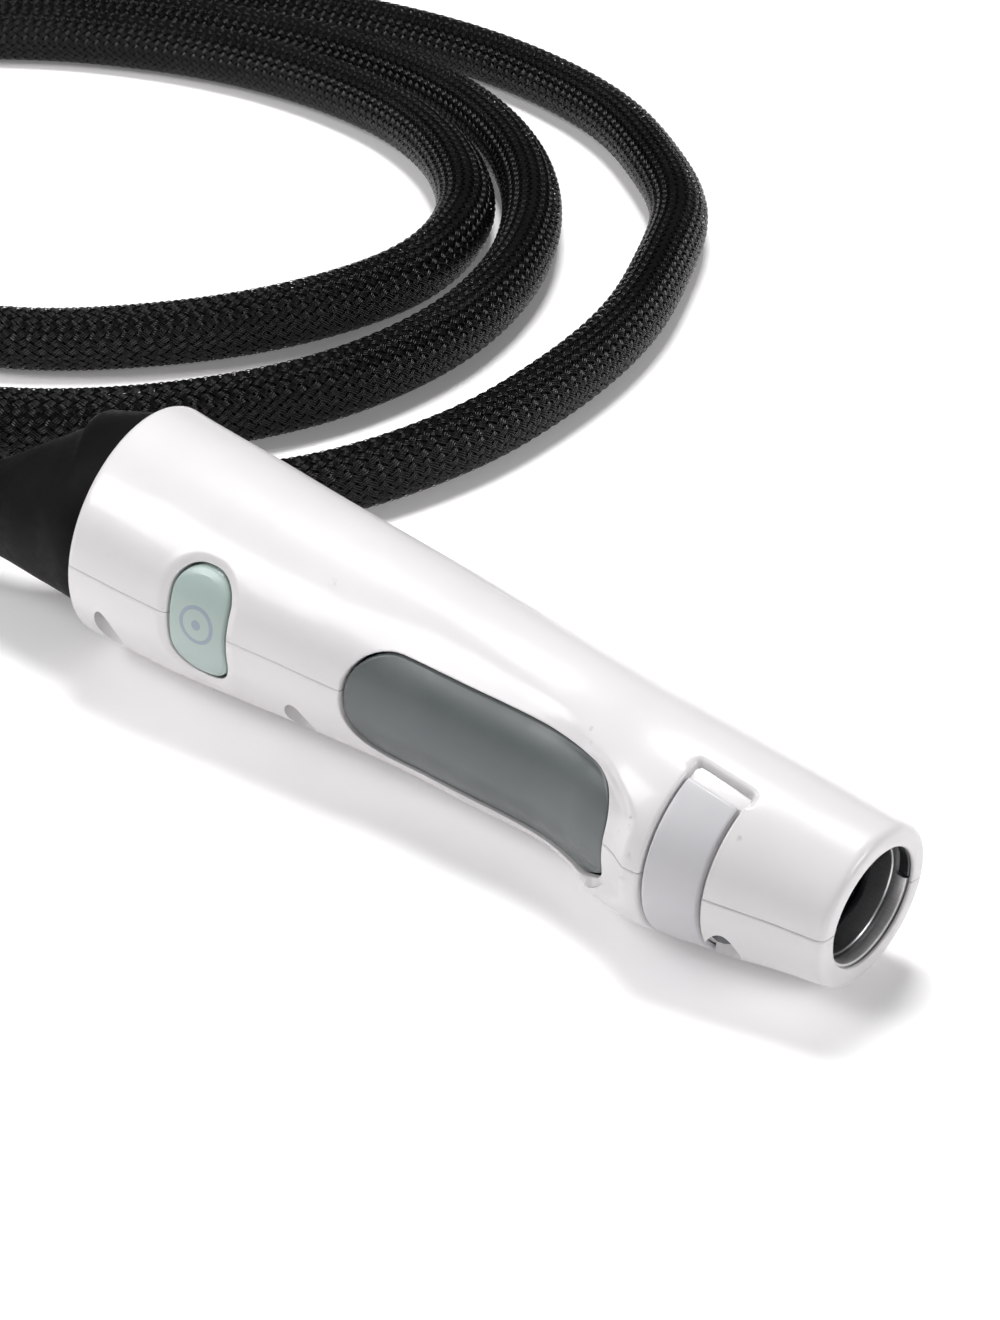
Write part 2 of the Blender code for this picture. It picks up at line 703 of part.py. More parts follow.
def optics():
    lens("rear_lens", 139.2 * MM, 144 * MM, 9.9 * MM, 2.0 * MM)
    ring("lens_spacer", 144.4 * MM, 154.6 * MM, 9.95 * MM, 9.0 * MM, "black_anodised")
    lens("front_lens", 155 * MM, 160.5 * MM, 9.9 * MM, 2.6 * MM)
    ring("lens_retainer", 160.9 * MM, 163.4 * MM, 9.95 * MM, 8.9 * MM, "aluminium")
    ring("window_seal", 163.8 * MM, 165.0 * MM, 9.9 * MM, 8.8 * MM, "black_rubber")
    window = cylinder("nose_window", 9.85 * MM, 165.4 * MM, 167.4 * MM, "X", (0, 0), 32)
    as_part(window, "lens_glass")
    ring("window_retainer", 167.8 * MM, 169.6 * MM, 9.95 * MM, 8.9 * MM, "aluminium")


def chassis():
    """The plate that carries the optics below it and the electronics above it."""
    plate = block("chassis", (28 * MM, -CHASSIS_TOP, -11 * MM), (129 * MM, -CHASSIS_LOW, 11 * MM),
                  0.4 * MM)
    wall = cylinder("chassis_wall", 14 * MM, 127.6 * MM, 130.4 * MM, "X", (0, 0), 32)
    hole = cylinder("chassis_hole", 6.2 * MM, 120 * MM, 134 * MM, "X", (0, 0), 24)
    join(plate, as_cutter(wall))
    cut(plate, as_cutter(hole))
    return as_part(plate, "aluminium")


def collimator():
    housing = turned("collimator_housing", (
        (127 * MM, 4.7 * MM), (127 * MM, 5.8 * MM), (84 * MM, 5.8 * MM), (84 * MM, 1.9 * MM),
        (92 * MM, 1.9 * MM), (92 * MM, 4.7 * MM)), 28)
    as_part(housing, "black_anodised")
    lens("collimator_lens", 118 * MM, 121.5 * MM, 4.4 * MM, 1.0 * MM)
    ferrule = turned("fibre_ferrule", (
        (90 * MM, 0), (90 * MM, 1.55 * MM), (76.2 * MM, 1.55 * MM), (76.2 * MM, 2.6 * MM),
        (66.3 * MM, 2.6 * MM), (66.3 * MM, 0)), 20)
    as_part(ferrule, "steel")
    nut = cylinder("fibre_nut", 5.2 * MM, 76.6 * MM, 83.6 * MM, "X", (0, 0), 6)
    bore = cylinder("fibre_nut_bore", 1.9 * MM, 70 * MM, 86 * MM, "X", (0, 0), 20)
    cut(nut, as_cutter(bore))
    as_part(nut, "brass")
    fibre = tube("optical_fibre", [(x * MM, y * MM, z * MM) for x, y, z in (
        (21.4, -2.2, 0), (26, -1.8, 0), (34, -0.9, 0), (44, -0.2, 0), (54, 0, 0), (65.9, 0, 0))],
        1.5 * MM)
    as_part(fibre, "fibre_jacket")


# ---------------------------------------------------------------- electronics
def electronics():
    board = block("circuit_board", (30 * MM, -BOARD_TOP, -12 * MM), (71 * MM, -BOARD_LOW, 12 * MM))
    as_part(board, "circuit_board")
    socket = block("board_connector", (63 * MM, -13.8 * MM, -6 * MM),
                   (70 * MM, -BOARD_TOP - GAP, 6 * MM), 0.4 * MM)
    as_part(socket, "black_plastic")
    switch_body("button_switch", BUTTON_X, 3.2 * MM, 3.2 * MM, BOARD_TOP + GAP, 14.4 * MM,
                11.7 * MM)
    plunger("button_plunger", BUTTON_X, 13.0 * MM, 17.2 * MM)
    coil_spring("button_spring", (BUTTON_X, 0), 3.0 * MM, 0.6 * MM, -15.1 * MM, -22.0 * MM, 3)
    switch_body("trigger_switch", 108 * MM, 6.4 * MM, 3.0 * MM, CHASSIS_TOP + GAP, 13.4 * MM,
                10.0 * MM)
    plunger("trigger_plunger", 108 * MM, 11.9 * MM, 16.3 * MM)
    coil_spring("trigger_spring", (124 * MM, 0), 2.4 * MM, 0.7 * MM, -9.3 * MM, -15.6 * MM, 3)
    harness = tube("wire_harness", [(x * MM, y * MM, z * MM) for x, y, z in (
        (22.4, -8, 3.5), (24.6, -10.6, 6), (27.4, -12.6, 8.8), (31, -13.2, 9.6),
        (40, -13.4, 9.8), (48, -13.2, 8), (56, -12.5, 4), (62.2, -12.2, 3))], 1.3 * MM)
    as_part(harness, "black_rubber")
    lead = tube("trigger_lead", [(x * MM, y * MM, z * MM) for x, y, z in (
        (71.2, -12.2, 4.4), (74, -12.5, 7.8), (80, -12.4, 10.2), (90, -11.6, 8.8),
        (97, -11.2, 4), (101.3, -11, 1.5))], 0.8 * MM)
    as_part(lead, "black_rubber")


# ---------------------------------------------------------------- rear clamp and boot
def rear_clamp():
    stub = cylinder("umbilical_stub", 7.5 * MM, -0.2 * MM, 20.6 * MM, "X", (REAR_CENTRE, 0), 28)
    as_part(stub, "black_rubber")
    for name, low, high in (("clamp_upper", GAP, 10.6 * MM), ("clamp_lower", -10.6 * MM, -GAP)):
        saddle = block(name, (8 * MM, -16.2 * MM, low), (17 * MM, 8.6 * MM, high), 0.6 * MM)
        bore = cylinder(f"{name}_bore", 7.8 * MM, 4 * MM, 22 * MM, "X", (REAR_CENTRE, 0), 28)
        cut(saddle, as_cutter(bore))
        for number, y in enumerate(CLAMP_SCREWS):
            hole = cylinder(f"{name}_hole_{number}", 1.6 * MM, -12 * MM, 12 * MM, "Z",
                            (12.5 * MM, y), 16)
            cut(saddle, as_cutter(hole))
        as_part(saddle, "aluminium")
    for number, y in enumerate(CLAMP_SCREWS, 1):
        screw(f"clamp_screw_{number}", (12.5 * MM, y), 1.25 * MM, -9.8 * MM, 2.1 * MM,
              10.9 * MM, 13.1 * MM)


def pose_matrix():
    """Lays the tool down in the rest frame, whose origin is below its rear centre."""
    return (Matrix.Translation((0, 0, REAR_HEIGHT)) @ Matrix.Rotation(PITCH, 4, "Y")
            @ Matrix.Rotation(ROLL, 4, "X"))


def circle_ring(centre, along, radius, count=20):
    along = along.normalized()
    side = along.cross(Vector((0, 0, 1))).normalized()
    up = side.cross(along)
    return [centre + radius * (cos(2 * pi * i / count) * side + sin(2 * pi * i / count) * up)
            for i in range(count)]


def rear_ring(x, radius, count=20):
    """A ring of points round the rear opening, leaning with the rear face."""
    points = circle_ring(Vector((x, REAR_CENTRE, 0)), Vector((-1, 0, 0)), radius, count)
    return [leaned(point) for point in points]


def strain_relief_boot():
    """The moulded boot: a flange caught behind the rear wall, then a drooping cone."""
    to_tool = pose_matrix().inverted()
    rings = []
    for x, radius in ((4.9, 17.1), (3.6, 17.1), (3.55, 15.5), (-0.35, 15.5), (-0.4, 24.2),
                      (-1.6, 24.4)):
        rings.append(rear_ring(x * MM, radius * MM))
    axis = Vector((-9.4 * MM, REAR_CENTRE, 0))
    bend = ((-15, -6.8, 26.6, 22.2), (-21, -9.4, 25.9, 19.5), (-29, -12.7, 25.0, 15.9),
            (-39, -15.8, 23.3, 11.8), (-46, -17.6, 22.0, 10.4), (-52, -19.5, 20.6, 9.7))
    spots = [to_tool @ (Vector(row[:3]) * MM) for row in bend]
    for i, row in enumerate(bend):
        before = spots[i - 1] if i else axis
        after = spots[i + 1] if i + 1 < len(spots) else spots[i] + (spots[i] - before)
        rings.append(circle_ring(spots[i], after - before, row[3] * MM))
    return as_part(loft("strain_relief_boot", rings), "black_rubber")


# ---------------------------------------------------------------- umbilical and connector
def smooth_route(points, count):
    """Evenly spaced points on a smooth curve through the route."""
    spots = [Vector(p) * MM for p in points]
    spots = [2 * spots[0] - spots[1]] + spots + [2 * spots[-1] - spots[-2]]
    fine = []
    for p0, p1, p2, p3 in zip(spots, spots[1:], spots[2:], spots[3:]):
        for i in range(12):
            t = i / 12
            fine.append(0.5 * (2 * p1 + (p2 - p0) * t + (2 * p0 - 5 * p1 + 4 * p2 - p3) * t**2
                               + (3 * p1 - p0 - 3 * p2 + p3) * t**3))
    fine.append(spots[-2])
    reach = [0.0]
    for a, b in zip(fine, fine[1:]):
        reach.append(reach[-1] + (b - a).length)
    even, k = [], 0
    for i in range(count):
        wanted = reach[-1] * i / (count - 1)
        while k < len(fine) - 2 and reach[k + 1] < wanted:
            k += 1
        span = (wanted - reach[k]) / (reach[k + 1] - reach[k])
        even.append(fine[k].lerp(fine[k + 1], span))
    return even


def umbilical():
    points = smooth_route(ROUTE, CORD_POINTS)
    points[0] += (points[1] - points[0]).normalized() * GAP
    points[-1] += (points[-2] - points[-1]).normalized() * GAP
    return as_part(tube("umbilical", points, CORD_RADIUS), "braided_sleeve", Workshop.rest)


def console_connector():
    """The plug at the far end, turned along its own axis and laid on the table."""
    before, end = smooth_route(ROUTE, CORD_POINTS)[-2:]
    heading = Vector((end.x - before.x, end.y - before.y, 0)).normalized()
    holder = empty("connector_axis", Workshop.rest)
    facing = heading.to_track_quat("X", "Z").to_matrix().to_4x4()
    holder.matrix_local = Matrix.Translation(end) @ facing
    cone = turned("connector_boot", (
        (26 * MM, 0), (26 * MM, 13 * MM), (20 * MM, 13 * MM), (0.2 * MM, 9.4 * MM),
        (0.2 * MM, 0)), 24)
    as_part(cone, "black_rubber", holder)
    body = turned("connector_body", (
        (74 * MM, 11.5 * MM), (74 * MM, 13.2 * MM), (58 * MM, 13.2 * MM), (58 * MM, 15 * MM),
        (52 * MM, 16 * MM), (34 * MM, 16 * MM), (26.4 * MM, 13.6 * MM), (26.4 * MM, 0),
        (64 * MM, 0), (64 * MM, 11.5 * MM)), 28)
    as_part(body, "aluminium", holder)
    collar = turned("connector_collar", (
        (78 * MM, 13.6 * MM), (78 * MM, 16.8 * MM), (76.5 * MM, 18 * MM), (61 * MM, 18 * MM),
        (59 * MM, 17 * MM), (59 * MM, 13.6 * MM)), 28)
    as_part(collar, "black_anodised", holder)
    contacts = cylinder("connector_contacts", 11.0 * MM, 64.4 * MM, 67 * MM, "X", (0, 0), 24)
    for number in range(6):
        turn = 2 * pi * number / 6
        pin = cylinder(f"contact_pin_{number}", 0.9 * MM, 66 * MM, 73 * MM, "X",
                       (7 * MM * cos(turn), 7 * MM * sin(turn)), 10)
        join(contacts, as_cutter(pin, holder))
    ferrule = cylinder("contact_ferrule", 2.2 * MM, 66 * MM, 75 * MM, "X", (0, 0), 16)
    join(contacts, as_cutter(ferrule, holder))
    as_part(contacts, "black_plastic", holder)


# ---------------------------------------------------------------- assembly
def build():
    clear_scene()
    Workshop.parts = new_collection(COLLECTION)
    Workshop.cutters = new_collection("cutters")
    Workshop.rest = empty("rest_frame")
    Workshop.rest.location = -REST_CENTRE
    Workshop.tool = empty("tool_frame", Workshop.rest)
    Workshop.tool.matrix_local = pose_matrix()
    common_cutters()
    shell_half("upper_shell", 1)
    shell_half("lower_shell", -1)
    case_screws()
    trigger_paddle()
    trigger_pin()
    trigger_bracket()
    mode_button()
    lock_band()
    lock_sleeve()
    nose_liner()
    nose_sleeve()
    lens_barrel()
    optics()
    chassis()
    collimator()
    electronics()
    rear_clamp()
    strain_relief_boot()
    umbilical()
    console_connector()


build()
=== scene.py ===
"""The looks of the laser handpiece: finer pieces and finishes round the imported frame."""
import json
from functools import lru_cache
from math import acos, asin, cos, degrees, hypot, pi, radians, sin, sqrt

import bmesh
import bpy
import numpy as np
from mathutils import Matrix, Vector


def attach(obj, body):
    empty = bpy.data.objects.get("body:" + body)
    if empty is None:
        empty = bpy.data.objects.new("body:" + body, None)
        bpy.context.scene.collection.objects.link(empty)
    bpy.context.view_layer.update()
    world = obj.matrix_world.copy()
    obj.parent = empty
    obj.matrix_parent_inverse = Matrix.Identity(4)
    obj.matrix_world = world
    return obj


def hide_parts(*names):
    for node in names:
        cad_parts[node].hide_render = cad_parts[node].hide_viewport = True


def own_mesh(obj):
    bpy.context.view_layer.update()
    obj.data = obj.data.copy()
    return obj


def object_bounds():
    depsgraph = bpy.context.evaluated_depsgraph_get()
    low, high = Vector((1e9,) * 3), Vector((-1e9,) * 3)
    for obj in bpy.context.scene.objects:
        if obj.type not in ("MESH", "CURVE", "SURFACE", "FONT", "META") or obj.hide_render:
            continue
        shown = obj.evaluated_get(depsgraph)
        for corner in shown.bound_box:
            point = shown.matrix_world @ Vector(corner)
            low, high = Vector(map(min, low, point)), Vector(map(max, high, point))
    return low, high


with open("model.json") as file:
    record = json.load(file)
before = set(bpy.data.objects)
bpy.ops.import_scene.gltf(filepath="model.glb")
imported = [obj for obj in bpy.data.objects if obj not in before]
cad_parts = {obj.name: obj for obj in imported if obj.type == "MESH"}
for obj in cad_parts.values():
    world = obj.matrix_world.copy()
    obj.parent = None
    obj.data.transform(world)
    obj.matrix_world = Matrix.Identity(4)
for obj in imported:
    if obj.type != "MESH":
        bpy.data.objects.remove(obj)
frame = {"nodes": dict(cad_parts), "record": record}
CAD_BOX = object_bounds()

MM = 0.001
ROUND_STEPS, FINE_STEPS = 72, 96

# ---- where the tool lies
ROLL = radians(-6.5)
PITCH = radians(2.27)
REAR_HEIGHT = 26.66
REST_CENTRE = Vector((67.45, -3.78, 0))
REST = Matrix.Scale(MM, 4) @ Matrix.Translation(-REST_CENTRE)
TOOL = (REST @ Matrix.Translation((0, 0, REAR_HEIGHT)) @ Matrix.Rotation(PITCH, 4, "Y")
        @ Matrix.Rotation(ROLL, 4, "X"))

# ---- dimensions, in mm
LENGTH = 190
SECTIONS = (
    (0, 27.4, 3.8), (20, 26.1, 3.8), (40, 24.5, 2.9), (60, 23.0, 1.6), (80, 21.8, 0.9),
    (100, 20.9, 0.8), (120, 19.8, 0.7), (130, 20.1, 1.7), (141, 21.3, 4.4), (150, 21.3, 5.0),
    (160, 20.5, 4.2), (170, 19.3, 2.7), (180, 17.9, 1.2), (190, 16.8, 0.0),
)
SCOOP = (
    (64, 0.0, 66), (90, 1.1, 68), (125, 1.3, 56), (133, 1.8, 50), (141, 3.2, 45),
    (146, 2.6, 38), (151, 0.0, 30),
)
SCOOP_FLAT = 36
REAR_CENTRE = -3.8
LEAN_SHIFT, LEAN_ACROSS, LEAN_UP = -7.8, -0.236, 0.072
LEAN_START, LEAN_END = 6.0, 24.0
REAR_ROUND = 1.8
NOSE_ROUND = 1.6
WALL = 2.6
REAR_WALL = 3.2

TRIGGER_START, TRIGGER_END, TRIGGER_WIDTH, TRIGGER_ACROSS = 74.0, 142.9, 24.9, -0.9
TRIGGER_SLIT = 0.5
BUTTON_X, BUTTON_LENGTH, BUTTON_WIDTH = 36.0, 14.8, 25.4
BUTTON_SLIT = 0.55
BAND_START, BAND_END = 155.0, 166.3
BAND_LOW, BAND_HIGH = -67, 57.5
POCKET_ANGLE = 68.3
MOUTH_RADIUS = 12.5
NOSE_BORE = 14.6
SCREW_BOSS, SCREW_HOLE, SCREW_HEAD = 4.4, 1.85, 3.5
CASE_SCREWS = ((7.5, 25.7), (7.5, -18.4), (60, 18.9), (60, -16.2), (118, -14.2), (170, 16.9))

CORD_POINTS = 80
CORE_RADIUS = 7.2
CORD_LIE = 8.8
ROUTE_ROWS = (
    (-52, -19.5, 20.6), (-80, -29, 14.6), (-112, -38, 10), (-150, -46), (-205, -50), (-262, -44),
    (-318, -24), (-364, 10), (-396, 55), (-411, 108), (-404, 166), (-380, 216), (-340, 258),
    (-288, 290), (-230, 307), (-172, 308), (-118, 294), (-78, 270), (-54, 250), (-34, 219),
    (-18, 188), (-8, 155), (-3, 120), (-4, 88), (-13, 56), (-32, 28), (-60, 8), (-98, -6),
    (-150, -18), (-205, -22), (-260, -15), (-312, 6), (-352, 40), (-380, 82), (-389, 130),
    (-380, 176), (-355, 216), (-315, 248), (-266, 268), (-212, 276), (-160, 268), (-118, 247),
    (-89, 222), (-65, 191), (-50, 155), (-45, 118), (-52, 82), (-70, 50), (-97, 24), (-140, 6),
    (-192, 0), (-246, 8), (-295, 30), (-333, 64), (-358, 104), (-366, 146), (-352, 186),
    (-320, 218), (-278, 240), (-232, 251), (-186, 250), (-142, 237), (-104, 209), (-85, 178),
    (-81, 146), (-90, 113), (-109, 82), (-138, 56), (-170, 43, 10.6), (-200, 43, 15.4),
    (-224, 55, 18.1), (-243, 73, 18.4),
)
# A row of two numbers lies on the table.
ROUTE = [row if len(row) == 3 else (*row, CORD_LIE) for row in ROUTE_ROWS]


# ---- camera
def make_camera():
    right = Vector((0.7449, 0.6672, 0.0))
    back = Vector((0.5579, -0.6229, 0.5484))
    up = back.cross(right)
    data = bpy.data.cameras.new("camera")
    data.sensor_fit = "AUTO"
    data.sensor_width = 36.0
    data.lens = 68.18
    data.clip_start = 0.01
    data.clip_end = 20
    item = bpy.data.objects.new("camera", data)
    bpy.context.scene.collection.objects.link(item)
    turn = Matrix((right, up, back)).transposed()
    spot = (Vector((378.49, -313.88, 309.68)) - REST_CENTRE) * MM
    item.matrix_world = Matrix.Translation(spot) @ turn.to_4x4()
    bpy.context.scene.camera = item


# ---- materials
class Finish:
    """A node material under construction, with short ways to add its nodes."""

    def __init__(self, name, colour, roughness, metallic=0.0):
        self.name = name
        self.made = bpy.data.materials.new(name)
        self.made.use_nodes = True
        self.tree = self.made.node_tree
        self.shader = self.tree.nodes["Principled BSDF"]
        self.set(Base_Color=(*colour, 1), Roughness=roughness, Metallic=metallic)
        coords = self.node("ShaderNodeTexCoord")
        self.uv = coords.outputs["UV"]
        self.place = coords.outputs["Object"]
        self.place = self.stretched((1 / MM, 1 / MM, 1 / MM))
        self.colour = None

    def link(self, out, into):
        self.tree.links.new(out, into)

    def node(self, kind, inputs=None, **values):
        """A new node, its inputs set to numbers or linked to other nodes' outputs."""
        made = self.tree.nodes.new(kind)
        for name, value in values.items():
            setattr(made, name, value)
        for name, value in (inputs or {}).items():
            if isinstance(value, bpy.types.NodeSocket):
                self.link(value, made.inputs[name])
            else:
                made.inputs[name].default_value = value
        return made

    def stretched(self, scale):
        return self.node("ShaderNodeMapping",
                         {"Scale": scale, "Vector": self.place}).outputs["Vector"]

    def noise(self, scale, detail=3.0, rough=0.55, vector=None):
        return self.node("ShaderNodeTexNoise", {
            "Scale": scale, "Detail": detail, "Roughness": rough,
            "Vector": vector or self.place}).outputs["Fac"]

    def remap(self, value, low, high, to_low=0.0, to_high=1.0, smooth=False):
        return self.node("ShaderNodeMapRange", {
            "From Min": low, "From Max": high, "To Min": to_low, "To Max": to_high,
            "Value": value}, interpolation_type="SMOOTHSTEP" if smooth else "LINEAR",
        ).outputs["Result"]

    def math(self, operation, first, second=0.0):
        return self.node("ShaderNodeMath", {0: first, 1: second}, operation=operation).outputs[0]

    def times(self, first, second):
        return self.math("MULTIPLY", first, second)

    def mix(self, amount, first, second):
        first, second = [(*c, 1) if isinstance(c, tuple) else c for c in (first, second)]
        return self.node("ShaderNodeMix", {"Factor": amount, "A": first, "B": second},
                         data_type="RGBA").outputs["Result"]

    def near(self, spot, radius):
        """1 at a spot of the row frame, in mm, falling to 0 at a radius."""
        gap = self.node("ShaderNodeVectorMath", {0: self.place, 1: spot}, operation="DISTANCE")
        return self.remap(gap.outputs["Value"], 0.0, radius, 1.0, 0.0, smooth=True)

    def paint(self, colour):
        self.colour = colour
        self.link(colour, self.shader.inputs["Base Color"])

    def rough(self, value):
        self.link(value, self.shader.inputs["Roughness"])

    def bump(self, height, distance):
        made = self.node("ShaderNodeBump",
                         {"Strength": 1.0, "Distance": distance, "Height": height})
        self.link(made.outputs["Normal"], self.shader.inputs["Normal"])

    def set(self, **values):
        for name, value in values.items():
            self.shader.inputs[name.replace("_", " ")].default_value = value
        return self


def moulded(name, colour, shade, roughness, spread=0.06, grain=0.25, depth=0.006 * MM,
            mottle=0.03, coat=0.0):
    """Moulded plastic: slow colour drift, uneven gloss and a fine skin."""
    made = Finish(name, colour, roughness)
    drift = made.remap(made.noise(mottle, 4.0, 0.6), 0.35, 0.65)
    made.paint(made.mix(drift, colour, shade))
    made.rough(made.remap(made.noise(mottle * 6, 3.0), 0.3, 0.7, roughness - spread,
                          roughness + spread))
    made.bump(made.noise(grain, 2.0, 0.5), depth)
    if coat:
        made.set(Coat_Weight=coat, Coat_Roughness=0.08)
    return made


def metal(name, colour, shade, roughness):
    """Turned or brushed metal, with fine marks along one direction."""
    made = Finish(name, colour, roughness, 1.0)
    marks = made.noise(1.6, 5.0, 0.7, made.stretched((0.15, 2.5, 2.5)))
    made.paint(made.mix(made.remap(marks, 0.3, 0.7), colour, shade))
    made.rough(made.remap(marks, 0.3, 0.7, roughness - 0.08, roughness + 0.08))
    made.bump(marks, 0.01 * MM)
    return made


def tool_spot(x, angle):
    """A point of the body's skin in row-frame mm, for marks on it."""
    return tuple((TOOL @ skin_point(x, angle)) / MM)


# Stains near the edges of the shell: x, angle, size, weight.
STAINS = (
    (63, 52, 1.6, 0.35), (131, 52, 0.9, 0.6), (133, 46, 0.7, 0.5), (149.5, 26, 0.9, 0.7),
    (150, 22, 1.1, 0.6), (152, 8, 1.2, 0.45), (151, -6, 1.6, 0.35), (169.5, 40, 0.8, 0.6),
    (147.5, 14, 1.0, 0.3),
)


def shell_white():
    """The shell's plastic, with faint stains and a few dark specks."""
    white = moulded("white_plastic", (0.66, 0.645, 0.65), (0.64, 0.625, 0.63), 0.32,
                    spread=0.04, coat=0.2)
    colour = white.colour
    blotch = white.remap(white.noise(1.1, 4.0, 0.7), 0.42, 0.62)
    for x, angle, size, weight in STAINS:
        spot = white.near(tool_spot(x, angle), size)
        amount = white.times(white.times(spot, blotch), weight)
        colour = white.mix(amount, colour, (0.22, 0.20, 0.17))
    specks = white.node("ShaderNodeTexVoronoi", {"Scale": 0.09, "Vector": white.place})
    dot = white.remap(specks.outputs["Distance"], 0.012, 0.026, 1.0, 0.0, smooth=True)
    patchy = white.remap(white.noise(0.018, 2.0), 0.52, 0.62)
    amount = white.times(white.times(dot, patchy), 0.45)
    white.paint(white.mix(amount, colour, (0.30, 0.27, 0.24)))
    return white


def trigger_grey():
    """The trigger's plastic, scuffed near its front end."""
    grey = moulded("grey_plastic", (0.100, 0.114, 0.116), (0.090, 0.103, 0.106), 0.38,
                   spread=0.05, grain=1.4, depth=0.012 * MM)
    scuffs = grey.remap(grey.noise(1.2, 6.0, 0.75, grey.stretched((0.5, 2.2, 2.2))), 0.56, 0.7)
    zone = grey.near(tool_spot(136, -24), 6.0)
    colour = grey.mix(grey.times(scuffs, zone), grey.colour, (0.30, 0.31, 0.31))
    smudge = grey.near(tool_spot(121, 14), 2.4)
    grey.paint(grey.mix(grey.times(smudge, 0.45), colour, (0.085, 0.10, 0.10)))
    return grey


def make_finishes():
    made = (
        shell_white(),
        trigger_grey(),
        moulded("button_plastic", (0.36, 0.445, 0.42), (0.345, 0.43, 0.405), 0.34, grain=1.2,
                depth=0.008 * MM, coat=0.15),
        moulded("icon_print", (0.275, 0.325, 0.38), (0.26, 0.31, 0.365), 0.45, grain=2.0),
        moulded("band_plastic", (0.52, 0.515, 0.535), (0.50, 0.495, 0.515), 0.36, grain=1.2,
                depth=0.008 * MM),
        metal("aluminium", (0.70, 0.705, 0.71), (0.56, 0.565, 0.57), 0.34),
        metal("matt_metal", (0.72, 0.72, 0.72), (0.60, 0.60, 0.60), 0.5),
        metal("dark_metal", (0.13, 0.13, 0.135), (0.09, 0.09, 0.095), 0.45),
        metal("black_anodised", (0.020, 0.020, 0.022), (0.012, 0.012, 0.013), 0.42),
        metal("steel", (0.58, 0.58, 0.59), (0.45, 0.45, 0.46), 0.26),
        metal("brass", (0.72, 0.55, 0.25), (0.60, 0.44, 0.18), 0.28),
        moulded("circuit_board", (0.02, 0.16, 0.07), (0.015, 0.12, 0.05), 0.4, grain=1.0,
                mottle=0.3),
        moulded("black_rubber", (0.003, 0.003, 0.0035), (0.005, 0.005, 0.0055), 0.52,
                grain=0.9, depth=0.02 * MM, mottle=0.08).set(Specular_IOR_Level=0.07),
        moulded("black_plastic", (0.018, 0.018, 0.019), (0.025, 0.025, 0.026), 0.4, grain=1.0),
        moulded("fibre_jacket", (0.70, 0.30, 0.04), (0.60, 0.25, 0.03), 0.4, grain=1.0),
        make_glass(),
        make_braid(),
        moulded("hose", (0.006, 0.006, 0.006), (0.01, 0.01, 0.01), 0.6, grain=0.6),
    )
    return {finish.name: finish for finish in made}


def make_glass():
    made = Finish("lens_glass", (0.86, 0.93, 0.96), 0.04)
    made.rough(made.remap(made.noise(0.5), 0.3, 0.7, 0.02, 0.06))
    return made.set(Transmission_Weight=1.0, IOR=1.5)


def make_braid():
    """Black monofilament in flat bundles of three: ridges along the strand, high gloss."""
    made = Finish("braided_sleeve", (0.003, 0.003, 0.0033), 0.14)
    parts = made.node("ShaderNodeSeparateXYZ", {"Vector": made.uv})
    across = made.times(parts.outputs["Y"], 3.0)
    ridge = made.math("ABSOLUTE", made.math("SUBTRACT", made.math("FRACT", across), 0.5))
    made.bump(made.math("SUBTRACT", 0.25, made.times(ridge, ridge)), 0.9 * MM)
    drift = made.remap(made.noise(0.05, 3.0), 0.35, 0.65)
    made.paint(made.mix(drift, (0.002, 0.002, 0.0023), (0.004, 0.004, 0.0045)))
    made.rough(made.remap(made.noise(0.9, 3.0), 0.3, 0.7, 0.10, 0.18))
    return made.set(Specular_IOR_Level=0.18)


FINISHES = {}


# ---- mesh helpers
def link_object(name, mesh):
    item = bpy.data.objects.new(name, mesh)
    bpy.context.scene.collection.objects.link(item)
    return item


def mesh_from(name, points, faces, frame_matrix=None):
    matrix = TOOL if frame_matrix is None else frame_matrix
    mesh = bpy.data.meshes.new(name)
    mesh.from_pydata([matrix @ Vector(p) for p in points], [], faces)
    mesh.validate()
    return link_object(name, mesh)


def outward(item):
    bm = bmesh.new()
    bm.from_mesh(item.data)
    bmesh.ops.recalc_face_normals(bm, faces=bm.faces)
    bm.to_mesh(item.data)
    bm.free()
    return item


def loft(name, rings, frame_matrix=None):
    """A closed solid through rings of points that match one to one."""
    count = len(rings[0])
    points = [p for ring in rings for p in ring]
    faces = []
    for k in range(len(rings) - 1):
        near, far = k * count, (k + 1) * count
        for i in range(count):
            j = (i + 1) % count
            faces.append((near + i, near + j, far + j, far + i))
    last = (len(rings) - 1) * count
    faces += [tuple(range(count)), tuple(reversed(range(last, last + count)))]
    return outward(mesh_from(name, points, faces, frame_matrix))


def carve(target, cutter, operation="DIFFERENCE"):
    """Applies a boolean at once, and removes the cutter."""
    step = target.modifiers.new("carve", "BOOLEAN")
    step.operation = operation
    step.object = cutter
    step.solver = "EXACT"
    graph = bpy.context.evaluated_depsgraph_get()
    solid = bpy.data.meshes.new_from_object(target.evaluated_get(graph))
    target.modifiers.clear()
    old, target.data = target.data, solid
    bpy.data.meshes.remove(old)
    spare = cutter.data
    bpy.data.objects.remove(cutter, do_unlink=True)
    bpy.data.meshes.remove(spare)
    return target


